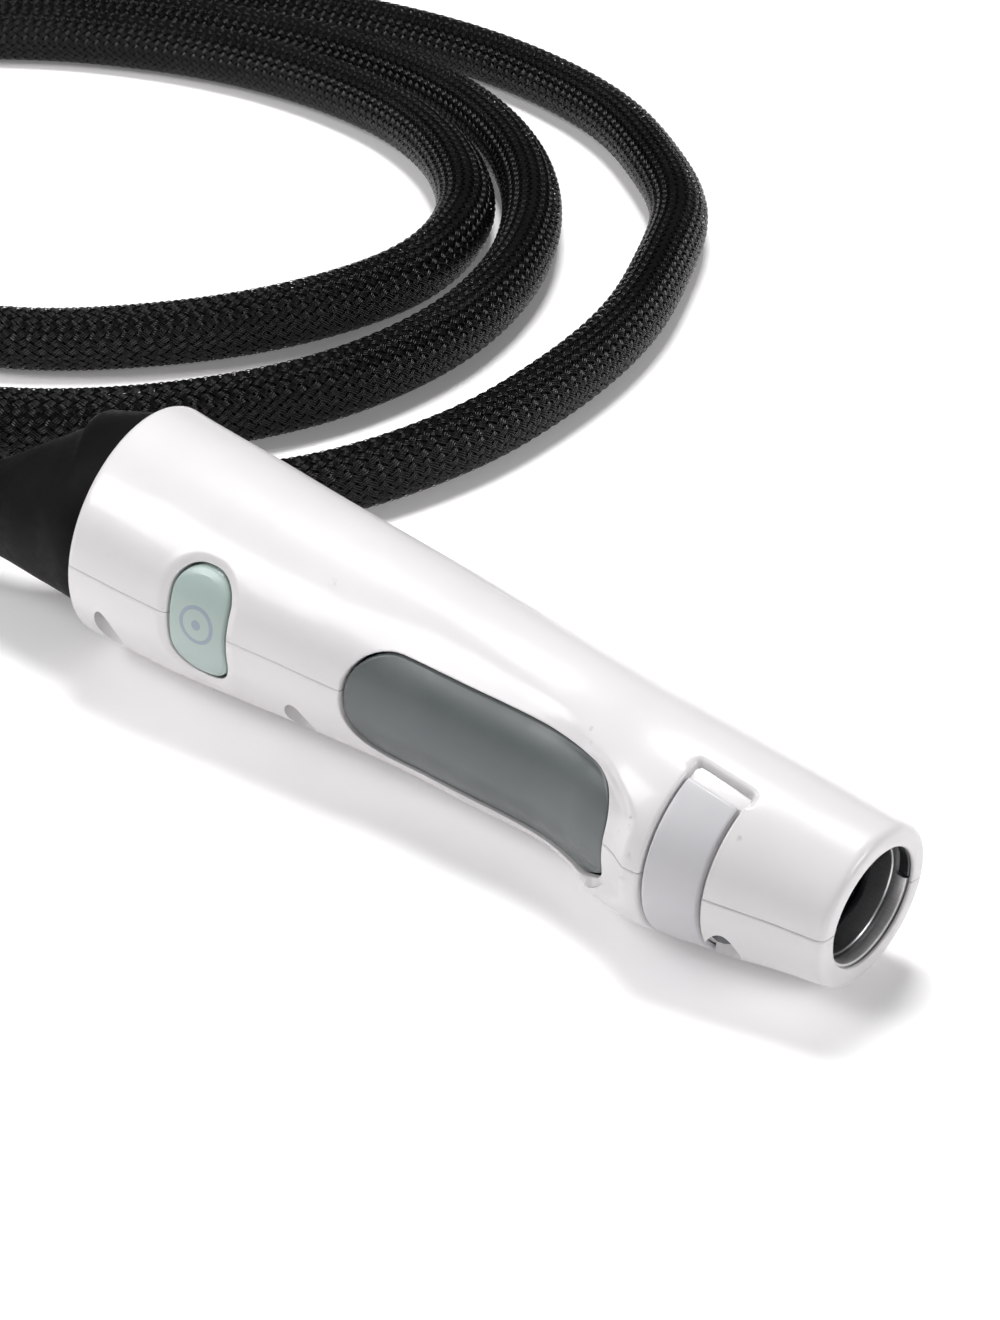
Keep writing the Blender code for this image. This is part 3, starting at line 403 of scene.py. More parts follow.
def lathe(name, profile, steps=ROUND_STEPS, frame_matrix=None):
    """A profile of (distance along X, radius) turned about X."""
    points, rows = [], []
    for x, radius in profile:
        if radius <= 0:
            rows.append([len(points)] * steps)
            points.append((x, 0, 0))
            continue
        rows.append(list(range(len(points), len(points) + steps)))
        points += [(x, -u, v) for u, v in round_points(radius, steps)]
    faces = []
    pairs = list(zip(rows, rows[1:]))
    if profile[0][1] > 0:
        pairs.append((rows[-1], rows[0]))
    for near, far in pairs:
        for i in range(steps):
            j = (i + 1) % steps
            corners = []
            for index in (near[i], near[j], far[j], far[i]):
                if index not in corners:
                    corners.append(index)
            if len(corners) > 2:
                faces.append(tuple(corners))
    return outward(mesh_from(name, points, faces, frame_matrix))


def block(name, low, high):
    points = [(x, y, z) for x in (low[0], high[0]) for y in (low[1], high[1])
              for z in (low[2], high[2])]
    faces = [(0, 1, 3, 2), (4, 6, 7, 5), (0, 4, 5, 1), (2, 3, 7, 6), (0, 2, 6, 4), (1, 5, 7, 3)]
    return outward(mesh_from(name, points, faces))


def round_points(radius, count):
    """Points round a circle about the origin, as pairs."""
    turns = [2 * pi * i / count for i in range(count)]
    return [(radius * cos(t), radius * sin(t)) for t in turns]


def rod(name, radius, low, high, spot, sides=32):
    """An upright rod between two heights, at a spot (x, y)."""
    return loft(name, [[(spot[0] + u, spot[1] + v, z) for u, v in round_points(radius, sides)]
                       for z in (low, high)])


def cross_rod(name, radius, low, high, x):
    """A rod along Y, at a given x."""
    return loft(name, [[(x + u, y, v) for u, v in round_points(radius, 32)]
                       for y in (low, high)])


def finished(item, finish, body, replaces=None, sharp=30):
    """Smooth shading, its material, its body and what it stands for."""
    mesh = item.data
    mesh.shade_smooth()
    mesh.set_sharp_from_angle(angle=radians(sharp))
    mesh.materials.clear()
    mesh.materials.append(FINISHES[finish].made)
    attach(item, body)
    if replaces:
        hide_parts(replaces)
    return item


def smooth_table(table, x):
    """Reads a table of stations with a smooth curve through them."""
    if x <= table[0][0]:
        return table[0][1:]
    if x >= table[-1][0]:
        return table[-1][1:]
    i = max(k for k in range(len(table) - 1) if table[k][0] <= x)
    left, right = table[i], table[i + 1]
    before = table[max(i - 1, 0)]
    after = table[min(i + 2, len(table) - 1)]
    span = right[0] - left[0]
    t = (x - left[0]) / span
    values = []
    for k in range(1, len(left)):
        rise = (right[k] - before[k]) / (right[0] - before[0]) * span
        fall = (after[k] - left[k]) / (after[0] - left[0]) * span
        values.append((2 * t**3 - 3 * t**2 + 1) * left[k] + (t**3 - 2 * t**2 + t) * rise
                      + (3 * t**2 - 2 * t**3) * right[k] + (t**3 - t**2) * fall)
    return values


# ---- the body's form
MOAT_DEPTH = 0.5
MOAT_WIDTH = 2.2
MOAT_LIP = 0.12
LIP_SHARE = 0.8
OPENING_ROUND = 7.2
POCKET_START, POCKET_END = BAND_START - 0.35, BAND_END + 0.8
POCKET_MIDDLE = (POCKET_START + POCKET_END) / 2
POCKET_DEPTH = 1.7
POCKET_ROUND = 0.9
POCKET_FRONT_ROUND = 0.3
POCKET_SOFT = 1.7
POCKET_CORNER = 1.1
BAND_RADIUS = 21.2
END_SLANT = -0.36


@lru_cache(maxsize=None)
def section(x):
    radius, offset = smooth_table(SECTIONS, x)
    depth, edge = smooth_table(SCOOP, x)
    ends = 0.0
    for distance, rounding in ((x, REAR_ROUND), (LENGTH - x, NOSE_ROUND)):
        if distance < rounding:
            ends = rounding - sqrt(max(rounding**2 - (rounding - distance) ** 2, 0))
    return radius - ends, offset, max(depth, 0), edge


def scoop(depth, edge, angle):
    flat = min(SCOOP_FLAT, edge - 12)
    turned_by = abs(angle)
    if turned_by <= flat:
        return depth
    if turned_by >= edge:
        return 0.0
    return depth * (0.5 + 0.5 * cos(pi * (turned_by - flat) / (edge - flat)))


def box_distance(u, v, centre_u, half_u, half_v, rounding):
    """Signed distance to a rounded rectangle, negative inside it."""
    du = abs(u - centre_u) - (half_u - rounding)
    dv = abs(v) - (half_v - rounding)
    return hypot(max(du, 0), max(dv, 0)) + min(max(du, dv), 0) - rounding


def eased(t):
    """1 at t = 0, falling smoothly to 0 at t = 1."""
    return 0.5 + 0.5 * cos(pi * t)


def moat(x, z, y):
    """The shallow dish round the mode button, with a low lip."""
    if y > 0 or abs(x - BUTTON_X) > 14 or abs(z) > 20:
        return 0.0
    away = box_distance(x, z, BUTTON_X, BUTTON_LENGTH / 2 + BUTTON_SLIT,
                        BUTTON_WIDTH / 2 + BUTTON_SLIT, OPENING_ROUND)
    if away >= MOAT_WIDTH * (1 + LIP_SHARE):
        return 0.0
    if away >= MOAT_WIDTH:
        return -MOAT_LIP * eased((away / MOAT_WIDTH - 1) / LIP_SHARE)
    return (MOAT_DEPTH + MOAT_LIP) * eased(max(away, 0) / MOAT_WIDTH) - MOAT_LIP


def pocket(x, angle):
    """The pocket that the lock band slides in, with a rounded brim."""
    if not BAND_START - 4 < x < BAND_END + 4 or abs(angle) > POCKET_ANGLE + 8:
        return 0.0
    straight = angle - END_SLANT * (x - POCKET_MIDDLE)
    away = box_distance(x, radians(straight) * BAND_RADIUS, POCKET_MIDDLE,
                        (POCKET_END - POCKET_START) / 2, radians(POCKET_ANGLE) * BAND_RADIUS,
                        POCKET_CORNER)
    if away <= 0:
        return POCKET_DEPTH
    brim = POCKET_ROUND if x < POCKET_MIDDLE else POCKET_FRONT_ROUND
    if abs(straight) > POCKET_ANGLE - 8:
        brim = POCKET_SOFT
    if away >= brim:
        return 0.0
    return brim - sqrt(brim**2 - (brim - away) ** 2)


def leaned(point):
    """Shifts a point of the rear end along X, so that the rear face faces the cord."""
    if point.x >= LEAN_END:
        return point
    share = 1.0
    if point.x > LEAN_START:
        share = 0.5 + 0.5 * cos(pi * (point.x - LEAN_START) / (LEAN_END - LEAN_START))
    shift = LEAN_SHIFT + LEAN_ACROSS * (point.y - REAR_CENTRE) + LEAN_UP * point.z
    return Vector((point.x + share * shift, point.y, point.z))


def skin_point(x, angle, inset=0.0, features=False):
    """A point of the body's skin, angle in degrees from the trigger side."""
    radius, offset, depth, edge = section(x)
    wrapped = (angle + 180) % 360 - 180
    radius -= inset + scoop(depth, edge, wrapped)
    turn = radians(angle)
    if features:
        radius -= pocket(x, wrapped)
        radius -= moat(x, radius * sin(turn), -offset - radius * cos(turn))
    return leaned(Vector((x, -offset - radius * cos(turn), radius * sin(turn))))


def skin_over(x, z, inset=0.0, features=False):
    """The point of the trigger side's skin at a given x and z."""
    radius, offset, depth, edge = section(x)
    angle = 0.0
    for _ in range(5):
        reach = radius - inset - scoop(depth, edge, angle)
        angle = degrees(asin(max(-0.999, min(0.999, z / reach))))
    if features:
        reach -= moat(x, z, -1)
    y = -offset - sqrt(max(reach**2 - z**2, 0))
    return Vector((x, y, z))


def spaced(start, end, step):
    count = max(1, round((end - start) / step))
    return [start + (end - start) * i / count for i in range(count + 1)]


def merged(*runs):
    values = sorted({round(v, 4) for run in runs for v in run})
    kept = [values[0]]
    for value in values[1:]:
        if value - kept[-1] > 0.02:
            kept.append(value)
    return kept


def fine(step):
    return step * 1


def body_stations():
    low, high = POCKET_START, POCKET_END
    brims = [low - POCKET_ROUND * k / 6 for k in range(7)]
    brims += [high + POCKET_FRONT_ROUND * k / 4 for k in range(5)]
    brims += [high + 0.7, high + 1.2, high + 1.7, low + 0.04, high - 0.04]
    ends = [0, 0.06, 0.2, 0.45, 0.8, 1.25, 1.8, 2.4]
    return merged(ends, [LENGTH - e * 0.9 for e in ends], spaced(3, 24, fine(2.4)),
                  spaced(24, 50, fine(0.65)), spaced(51.5, 68, fine(2.2)),
                  spaced(69, 150, fine(0.8)), spaced(150, low - POCKET_ROUND, fine(1.0)),
                  brims, spaced(low + 0.5, high - 0.5, fine(1.2)),
                  spaced(high + 1, LENGTH - 3, fine(2.2)))


def body_angles():
    brim = degrees(POCKET_SOFT / BAND_RADIUS)
    corner = degrees(POCKET_CORNER / BAND_RADIUS)
    edges = [POCKET_ANGLE + brim * k / 9 for k in range(-3, 10)] + [POCKET_ANGLE - 0.1]
    corners = spaced(POCKET_ANGLE - corner, POCKET_ANGLE - 0.5, fine(0.7))
    return merged(spaced(2.4, POCKET_ANGLE - corner - 0.6, fine(1.5)), corners, edges,
                  spaced(POCKET_ANGLE + brim + 1, 177.6, fine(3.6)))


def shell_ring(x, side, edge, angles):
    """One section of a shell half: parting edge, skin, parting edge."""
    radius, offset, depth, bend = section(x)
    reach = radius - scoop(depth, bend, 0) - pocket(x, 0)
    start = [leaned(Vector((x, -offset - sqrt((reach - inset) ** 2 - z**2), side * z)))
             for inset, z in edge]
    finish = [leaned(Vector((x, -offset + sqrt((radius - inset) ** 2 - z**2), side * z)))
              for inset, z in reversed(edge)]
    return start + [skin_point(x, side * angle, features=True) for angle in angles] + finish


def full_form(name, start, end, inset):
    """The body's form, sunk by a depth that may be a function of x."""
    rings = []
    for x in spaced(start, end, 6.0):
        depth = inset(x) if callable(inset) else inset
        rings.append([skin_point(x, angle, depth) for angle in range(0, 360, 12)])
    return loft(name, rings)


def cavity_inset(x):
    return WALL if x < 148 else 4.0


CORNER_STEPS = 12
SIDE_STEPS = (48, 14)
OUTSIDE = -45


def outline(start, end, half_width, start_round, end_round, across=0.0, grow=0.0):
    """A rounded rectangle in X and Z as evenly matched points, grown by an offset."""
    start, end, half_width = start - grow, end + grow, half_width + grow
    start_round, end_round = start_round + grow, end_round + grow
    corners = (
        (end - end_round, half_width - end_round, end_round, 0),
        (start + start_round, half_width - start_round, start_round, 90),
        (start + start_round, start_round - half_width, start_round, 180),
        (end - end_round, end_round - half_width, end_round, 270),
    )
    arcs = []
    for x, z, radius, first in corners:
        turns = [radians(first + 90 * i / CORNER_STEPS) for i in range(CORNER_STEPS + 1)]
        arcs.append([(x + radius * cos(t), z + radius * sin(t)) for t in turns])
    points = []
    for k, arc in enumerate(arcs):
        points += arc
        near, far = arc[-1], arcs[(k + 1) % 4][0]
        count = SIDE_STEPS[k % 2]
        points += [(near[0] + (far[0] - near[0]) * i / count,
                    near[1] + (far[1] - near[1]) * i / count) for i in range(1, count)]
    return [(x, z + across) for x, z in points]


def brimmed(name, shape, inset, brim, deep, flare, beyond, features=False):
    """A space with a rounded brim, seen along Y and open above the skin.

    A flare of 1 widens it outwards, to cut an opening. A flare of -1 narrows it, for the
    space that a rounded key fills. Past its brim it goes on by beyond, at a gentle slope.
    """
    brims = [(brim * (1 - cos(radians(turn))), inset + brim * (1 - sin(radians(turn))))
             for turn in (0, 14, 28, 42, 56, 70, 80)]
    brims.append((brims[-1][0] + beyond, brims[-1][1] - beyond * 0.2))
    rings = [[Vector((x, deep, z)) for x, z in outline(*shape)]]
    for grow, sunk in brims:
        shown = outline(*shape, grow=flare * grow)
        rings.append([skin_over(x, z, sunk, features) for x, z in shown])
    rings.append([Vector((x, OUTSIDE, z)) for x, z in shown])
    return loft(name, rings)


def slab(name, start, end, low, high, top, bottom, step, angle_step):
    """A slab that follows the body's skin; top may be a function of x."""
    rings = []
    angles = spaced(low, high, angle_step)
    for x in spaced(start, end, step):
        sunk = top(x) if callable(top) else top
        rings.append([skin_point(x, angle, sunk) for angle in angles]
                     + [skin_point(x, angle, bottom) for angle in reversed(angles)])
    return loft(name, rings)


TRIGGER_HOLE = (TRIGGER_START - TRIGGER_SLIT, TRIGGER_END + TRIGGER_SLIT,
                TRIGGER_WIDTH / 2 + TRIGGER_SLIT, 11.8, 8.8, TRIGGER_ACROSS)
BUTTON_HOLE = (BUTTON_X - BUTTON_LENGTH / 2 - BUTTON_SLIT,
               BUTTON_X + BUTTON_LENGTH / 2 + BUTTON_SLIT,
               BUTTON_WIDTH / 2 + BUTTON_SLIT, OPENING_ROUND, OPENING_ROUND)


# ---- shell halves
UPPER_EDGE = ((1.4, 0.09), (0.2, 0.09), (0.07, 0.13), (0.0, 0.24), (0.0, 0.5))
LOWER_EDGE = ((1.4, 0.09), (0.34, 0.09), (0.2, 0.13), (0.08, 0.24), (0.01, 0.40), (0.0, 0.6))


def shell_half(node, side, edge):
    angles = body_angles()
    shell = loft(node + "_skin", [shell_ring(x, side, edge, angles) for x in body_stations()])
    carve(shell, full_form("cavity", REAR_WALL, 173, cavity_inset))
    for x, toward in CASE_SCREWS:
        spot = (x, -toward)
        boss = rod("boss", SCREW_BOSS, side * 0.25, 11.5 if side > 0 else -26, spot)
        under = POCKET_DEPTH + 0.4 if x > BAND_START else 1.0
        carve(boss, full_form("core", 1, 187, under), "INTERSECT")
        carve(shell, boss, "UNION")
        carve(shell, rod("hole", SCREW_HOLE, -side, 10 if side > 0 else -7, spot, 20))
        if side < 0:
            carve(shell, rod("bore", SCREW_HEAD, -6.2, -32, spot, 48))
    carve(shell, lathe("nose_bore", (
        (192, 0), (192, MOUTH_RADIUS + 1.9), (190.02, MOUTH_RADIUS + 0.45),
        (189.86, MOUTH_RADIUS + 0.16), (189.6, MOUTH_RADIUS), (189.35, MOUTH_RADIUS),
        (189.35, NOSE_BORE), (130, NOSE_BORE), (130, 0)), FINE_STEPS))
    carve(shell, loft("rear_opening", [rear_ring(*row) for row in (
        (-3, 17.6), (0.05, 16.3), (0.4, 16.0), (6, 15.9))]))
    for name, hole, deep in (("trigger_opening", TRIGGER_HOLE, -9),
                             ("button_opening", BUTTON_HOLE, -16)):
        carve(shell, brimmed(name, hole, 0.0, 0.35, deep, 1, 1.2, features=True))
    carve(shell, block("post_slot", (157.6, -27, -2.6), (163.8, -12, 5.4)))
    return finished(shell, "white_plastic", "housing", replaces=node, sharp=35)


# ---- keys
TRIGGER_INSET = 0.75
BUTTON_INSET = 0.28


def trigger():
    paddle = slab("trigger_key", 71, 148, -60, 60, TRIGGER_INSET, 3.0, fine(0.9), fine(1.6))
    shape = (TRIGGER_START, TRIGGER_END, TRIGGER_WIDTH / 2, 11.4, 8.4, TRIGGER_ACROSS)
    carve(paddle, brimmed("trigger_shape", shape, TRIGGER_INSET, 0.55, -9, -1, 1.0),
          "INTERSECT")
    for name, low, high in (("ear", (77.2, -19.2, -7.8), (81.4, -13.2, -5.0)),
                            ("ear", (77.2, -19.2, 5.0), (81.4, -13.2, 7.8)),
                            ("tab", (136, -19.6, -2.8), (145.5, -18.2, 2.8)),
                            ("foot", (121, -18.2, -2.4), (127, -16.3, 2.4))):
        carve(paddle, block(name, low, high), "UNION")
    carve(paddle, rod("bore", 1.6, -10, 10, (79, -15.6)))
    return finished(paddle, "grey_plastic", "trigger", replaces="trigger_paddle")


def button_sunk(x):
    """A slight crown across the button's short way."""
    across = (x - BUTTON_X) / (BUTTON_LENGTH / 2)
    return BUTTON_INSET + 0.25 * across**2


def button():
    cap = slab("button_key", 27, 47, -40, 40, button_sunk, 4.3, fine(0.7), fine(1.6))
    shape = (BUTTON_X - BUTTON_LENGTH / 2, BUTTON_X + BUTTON_LENGTH / 2, BUTTON_WIDTH / 2,
             6.8, 6.8)
    carve(cap, brimmed("button_shape", shape, BUTTON_INSET + 0.2, 0.7, -12, -1, 1.0),
          "INTERSECT")
    flange = slab("flange", 25, 49, -44, 44, 3.0, 4.3, 3.0, 6.0)
    wide = (shape[0] - 1.5, shape[1] + 1.5, shape[2] + 1.5, 8, 8)
    rings = [[Vector((x, y, z)) for x, z in outline(*wide)] for y in (-12, OUTSIDE)]
    carve(flange, loft("flange_shape", rings), "INTERSECT")
    carve(cap, flange, "UNION")
    carve(cap, cross_rod("stem", 2, -24.2, -17.5, BUTTON_X), "UNION")
    return finished(cap, "button_plastic", "button", replaces="mode_button")


def springs():
    """Gives each return spring a mesh of its own."""
    for name, joint, x, seat, keep in (("trigger_spring", "trigger_press", 124, -9.3, 0.66),
                                       ("button_spring", "button_press", BUTTON_X, -15.1, 0.84)):
        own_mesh(frame["nodes"][name])


MARK_STEPS = 64


def printed_ring(name, inner, outer, centre):
    """A thin printed mark on the button: a ring, or a dot when inner is 0."""
    radii = spaced(inner, outer, 0.4)
    rows, points, faces = len(radii), [], []
    for lift in (-0.025, 0.05):
        for radius in radii:
            for u, v in round_points(radius, MARK_STEPS):
                x = centre[0] + u
                points.append(skin_over(x, centre[1] + v, button_sunk(x) + lift))
    bands = [(layer + k, layer + k + 1) for layer in (0, rows) for k in range(rows - 1)]
    bands += [(k, rows + k) for k in ((0, rows - 1) if inner else (rows - 1,))]
    for near, far in bands:
        a, b = near * MARK_STEPS, far * MARK_STEPS
        for i in range(MARK_STEPS):
            j = (i + 1) % MARK_STEPS
            faces.append((a + i, a + j, b + j, b + i))
    mark = mesh_from(name, points, faces)
    bm = bmesh.new()
    bm.from_mesh(mark.data)
    bmesh.ops.remove_doubles(bm, verts=bm.verts, dist=0.002 * MM)
    bm.to_mesh(mark.data)
    bm.free()
    return finished(outward(mark), "icon_print", "button")


# ---- tip lock
BAND_TOP = 0.3
BAND_BOTTOM = 1.35
BAND_BRIM = 0.7


def band_steps(start, end, brim, step):
    """Stations from start to end, closer together over the rounded brims."""
    rounds = [brim * (1 - cos(radians(t))) for t in range(0, 91, 15)]
    return merged([start + r for r in rounds], [end - r for r in rounds],
                  spaced(start + brim, end - brim, step))


def lock_band():
    """The band's slab, with rounded edges on its visible side."""
    angles = band_steps(BAND_LOW, BAND_HIGH, degrees(BAND_BRIM / BAND_RADIUS), fine(2))
    middle, half = (BAND_START + BAND_END) / 2, (BAND_END - BAND_START) / 2
    centre = (BAND_LOW + BAND_HIGH) / 2
    reach = radians(BAND_HIGH - BAND_LOW) / 2 * BAND_RADIUS
    rings = []
    for x in band_steps(BAND_START, BAND_END, BAND_BRIM, 1.0):
        outer = []
        slant = END_SLANT * (x - middle)
        for angle in angles:
            inside = -box_distance(x, radians(angle - centre) * BAND_RADIUS, middle, half,
                                   reach, 0.9)
            inside = max(0.0, min(inside, BAND_BRIM))
            sunk = BAND_BRIM - sqrt(BAND_BRIM**2 - (BAND_BRIM - inside) ** 2)
            outer.append(skin_point(x, angle + slant, BAND_TOP + sunk))
        inner = [skin_point(x, angle + slant, BAND_BOTTOM) for angle in reversed(angles)]
        rings.append(outer + inner)
    band = loft("lock_slide", rings)
    carve(band, block("post", (159.1, -23.6, -1.5), (162.3, -13.5, 1.5)), "UNION")
    return finished(band, "band_plastic", "lock_band", replaces="lock_band")


def ring_length(name, profile, low, high):
    """A profile of (x, radius) swept round the tool's axis between two angles."""
    turns = [radians(angle) for angle in spaced(low, high, 3.0)]
    return loft(name, [[Vector((x, -r * cos(t), r * sin(t))) for x, r in profile]
                       for t in turns])


def mouth_ring():
    """The sleeve that turns, with a C-shaped lip, and the fixed part beside the lip, whose dark
    finish is painted shade for the shadowed side of the mouth.
    """
    sleeve = lathe("lock_ring", ((186.6, 13.0), (186.6, 14.3), (157, 14.3), (157, 13.0)),
                   FINE_STEPS)
    carve(sleeve, block("notch", (156, -16, -1.95), (163.2, -11, 1.95)))
    lip = ((186.4, 14.2), (186.4, 12.7), (186.6, 12.15), (186.9, 11.9), (188.5, 11.9),
           (188.85, 12.1), (189.05, 12.5), (189.05, 14.2))
    carve(sleeve, ring_length("lip", lip, 177, 335), "UNION")
    finished(sleeve, "matt_metal", "lock_sleeve", replaces="lock_sleeve")
    fixed = ((186.9, 14.3), (186.9, 12.6), (187.05, 12.45), (188.8, 12.45), (189.05, 12.65),
             (189.05, 14.3))
    # The fixed part's dark finish is painted shade for the shadowed upper side of the mouth's
    # inner wall.
    liner = ring_length("mouth_liner", fixed, -16, 175.4)
    finished(liner, "dark_metal", "housing", replaces="nose_liner")


def lens(near, far, bulge, radius=9.9):
    """The profile of a lens that is flat at near and bulges by bulge at far."""
    ball = (radius**2 + bulge**2) / (2 * bulge)
    edge = acos(1 - bulge / ball)
    crown = [(far - ball + ball * cos(edge * i / 12), ball * sin(edge * i / 12))
             for i in range(1, 13)]
    return ((far, 0), *crown, (near + 0.2, radius), (near, 9.7), (near, 0))


def nose_optics():
    threads = [(x, 10.3 + 0.16 * (i % 2)) for i, x in enumerate(spaced(171, 181.2, 0.5))]
    for name, node, finish, steps, profile in (
            ("nose_tube", "nose_sleeve", "aluminium", FINE_STEPS,
             ((185.95, 11.85), (185.95, 12.0), (185.55, 12.6), (133.4, 12.6), (133.4, 14.1),
              (130.8, 14.1), (130.8, 11.6), (185.3, 11.6), (185.7, 11.65))),
            ("optics_barrel", "lens_barrel", "black_anodised", FINE_STEPS,
             ((182, 10.75), (182, 11.05), (181.8, 11.3), (134, 11.3), (134, 8.2), (136, 8.2),
              (136, 10.3), (170.5, 10.3), *threads, (181.6, 10.4))),
            ("window_ring", "window_retainer", "aluminium", ROUND_STEPS,
             ((169.6, 9.1), (169.45, 8.9), (167.8, 8.9), (167.8, 9.95), (169.4, 9.95),
              (169.6, 9.75))),
            ("window_glass", "nose_window", "lens_glass", ROUND_STEPS,
             ((165.4, 0), (165.4, 9.7), (165.55, 9.85), (167.25, 9.85), (167.4, 9.7),
              (167.4, 0))),
            ("front_lens_glass", "front_lens", "lens_glass", ROUND_STEPS,
             lens(155, 160.5, 2.6)),
            ("rear_lens_glass", "rear_lens", "lens_glass", ROUND_STEPS,
             lens(139.2, 144, 2.0))):
        finished(lathe(name, profile, steps), finish, "housing", replaces=node)


# ---- boot and umbilical
def circle(centre, along, radius):
    along = along.normalized()
    side = along.cross(Vector((0, 0, 1))).normalized()
    up = side.cross(along)
    return [centre + radius * (cos(t) * side + sin(t) * up)
            for t in [2 * pi * i / ROUND_STEPS for i in range(ROUND_STEPS)]]


def catmull(rows, per_span):
    """Points of a smooth curve through rows of numbers of any length."""
    rows = [np.array(r, float) for r in rows]
    rows = [2 * rows[0] - rows[1]] + rows + [2 * rows[-1] - rows[-2]]
    made = []
    for p0, p1, p2, p3 in zip(rows, rows[1:], rows[2:], rows[3:]):
        for i in range(per_span):
            t = i / per_span
            made.append(0.5 * (2 * p1 + (p2 - p0) * t + (2 * p0 - 5 * p1 + 4 * p2 - p3) * t**2
                               + (3 * p1 - p0 - 3 * p2 + p3) * t**3))
    made.append(rows[-2])
    return made


def rear_ring(x, radius):
    """A ring of points round the rear opening, leaning with the rear face."""
    points = circle(Vector((x, REAR_CENTRE, 0)), Vector((-1, 0, 0)), radius)
    return [leaned(point) for point in points]


# The boot in the tool's frame, as x and radius, and then where it droops in the row frame,
# as x, y, z and radius. The first bend row is where the two meet.
BOOT_FLANGE = ((4.9, 16.9), (4.8, 17.1), (3.65, 17.1), (3.6, 15.5), (-0.3, 15.5),
               (-0.35, 23.6), (-0.5, 24.1), (-1.0, 24.4), (-1.6, 24.4))
BOOT_MEET = (-11.4, -4.5, 0.0, 23.6)
BOOT_DROOP = ((-15, -6.8, 26.6, 22.2), (-21, -9.4, 25.9, 19.5), (-29, -12.7, 25.0, 15.9),
              (-39, -15.8, 23.3, 11.8), (-46, -17.6, 22.0, 10.4), (-51.4, -19.3, 20.75, 9.75))
BOOT_END = ((0.35, 9.6), (0.55, 9.3), (0.6, 8.9))


def boot():
    """The moulded strain relief, from the flange behind the rear wall to its drooping end."""
    to_tool = (Matrix.Translation((0, 0, REAR_HEIGHT)) @ Matrix.Rotation(PITCH, 4, "Y")
               @ Matrix.Rotation(ROLL, 4, "X")).inverted()
    rings = [rear_ring(*row) for row in BOOT_FLANGE]
    bend = [BOOT_MEET] + [(*(to_tool @ Vector(row[:3])), row[3]) for row in BOOT_DROOP]
    spots = catmull(bend, 5)
    for i, row in enumerate(spots):
        near, far = spots[max(i - 1, 0)], spots[min(i + 1, len(spots) - 1)]
        rings.append(circle(Vector(row[:3]), Vector(far[:3] - near[:3]), float(row[3])))
    end = Vector(spots[-1][:3])
    ahead = (end - Vector(spots[-2][:3])).normalized()
    rings += [circle(end + ahead * reach, ahead, radius) for reach, radius in BOOT_END]
    return finished(loft("boot", rings), "black_rubber", "housing",
                    replaces="strain_relief_boot")


def route_points():
    """The route that the CAD cord follows, in row-frame metres."""
    fine_points = [Vector(p) for p in catmull(ROUTE, 12)]
    reach = [0.0]
    for a, b in zip(fine_points, fine_points[1:]):
        reach.append(reach[-1] + (b - a).length)
    even, k = [], 0
    for i in range(CORD_POINTS):
        wanted = reach[-1] * i / (CORD_POINTS - 1)
        while k < len(fine_points) - 2 and reach[k + 1] < wanted:
            k += 1
        span = (wanted - reach[k]) / (reach[k + 1] - reach[k])
        even.append(fine_points[k].lerp(fine_points[k + 1], span))
    return even


# How the sleeve's radius changes along the cord: share of its length, radius. It is
# pulled tight, and so slimmer, where the second turn passes near the tool.
SLEEVE_TABLE = (
    (0.0, 8.4), (0.06, 8.8), (0.30, 8.9), (0.36, 8.2), (0.405, 7.5), (0.45, 8.2),
    (0.50, 9.1), (0.62, 9.2), (0.80, 9.25), (0.93, 9.1), (0.97, 8.5), (1.0, 8.4),
)
SLEEVE_GAPS = (1.2, 0.8)
STRANDS = 20
STRAND_CELL = 4.9
WEAVE_HEIGHT = 0.33
STRAND_HALF = 0.86
CROWN = 0.16
RESTING_RADIUS = 8.55
SLEEVE_SEGMENTS = 4
UPWARD = np.array([0.0, 0.0, 1.0])


def sleeve_mesh(name, points, quads, uv):
    """A mesh from arrays of row-frame points in mm, of quads and of their texture places."""
    mesh = bpy.data.meshes.new(name)
    mesh.vertices.add(len(points))
    places = (points - np.array(REST_CENTRE)) * MM
    mesh.vertices.foreach_set("co", places.astype(np.float32).ravel())
    mesh.loops.add(quads.size)
    mesh.loops.foreach_set("vertex_index", quads.astype(np.int32).ravel())
    mesh.polygons.add(len(quads))
    mesh.polygons.foreach_set("loop_start", np.arange(0, quads.size, 4, dtype=np.int32))
    mesh.update(calc_edges=True)
    layer = mesh.uv_layers.new(name="weave")
    layer.data.foreach_set("uv", uv[quads.ravel()].astype(np.float32).ravel())
    return link_object(name, mesh)


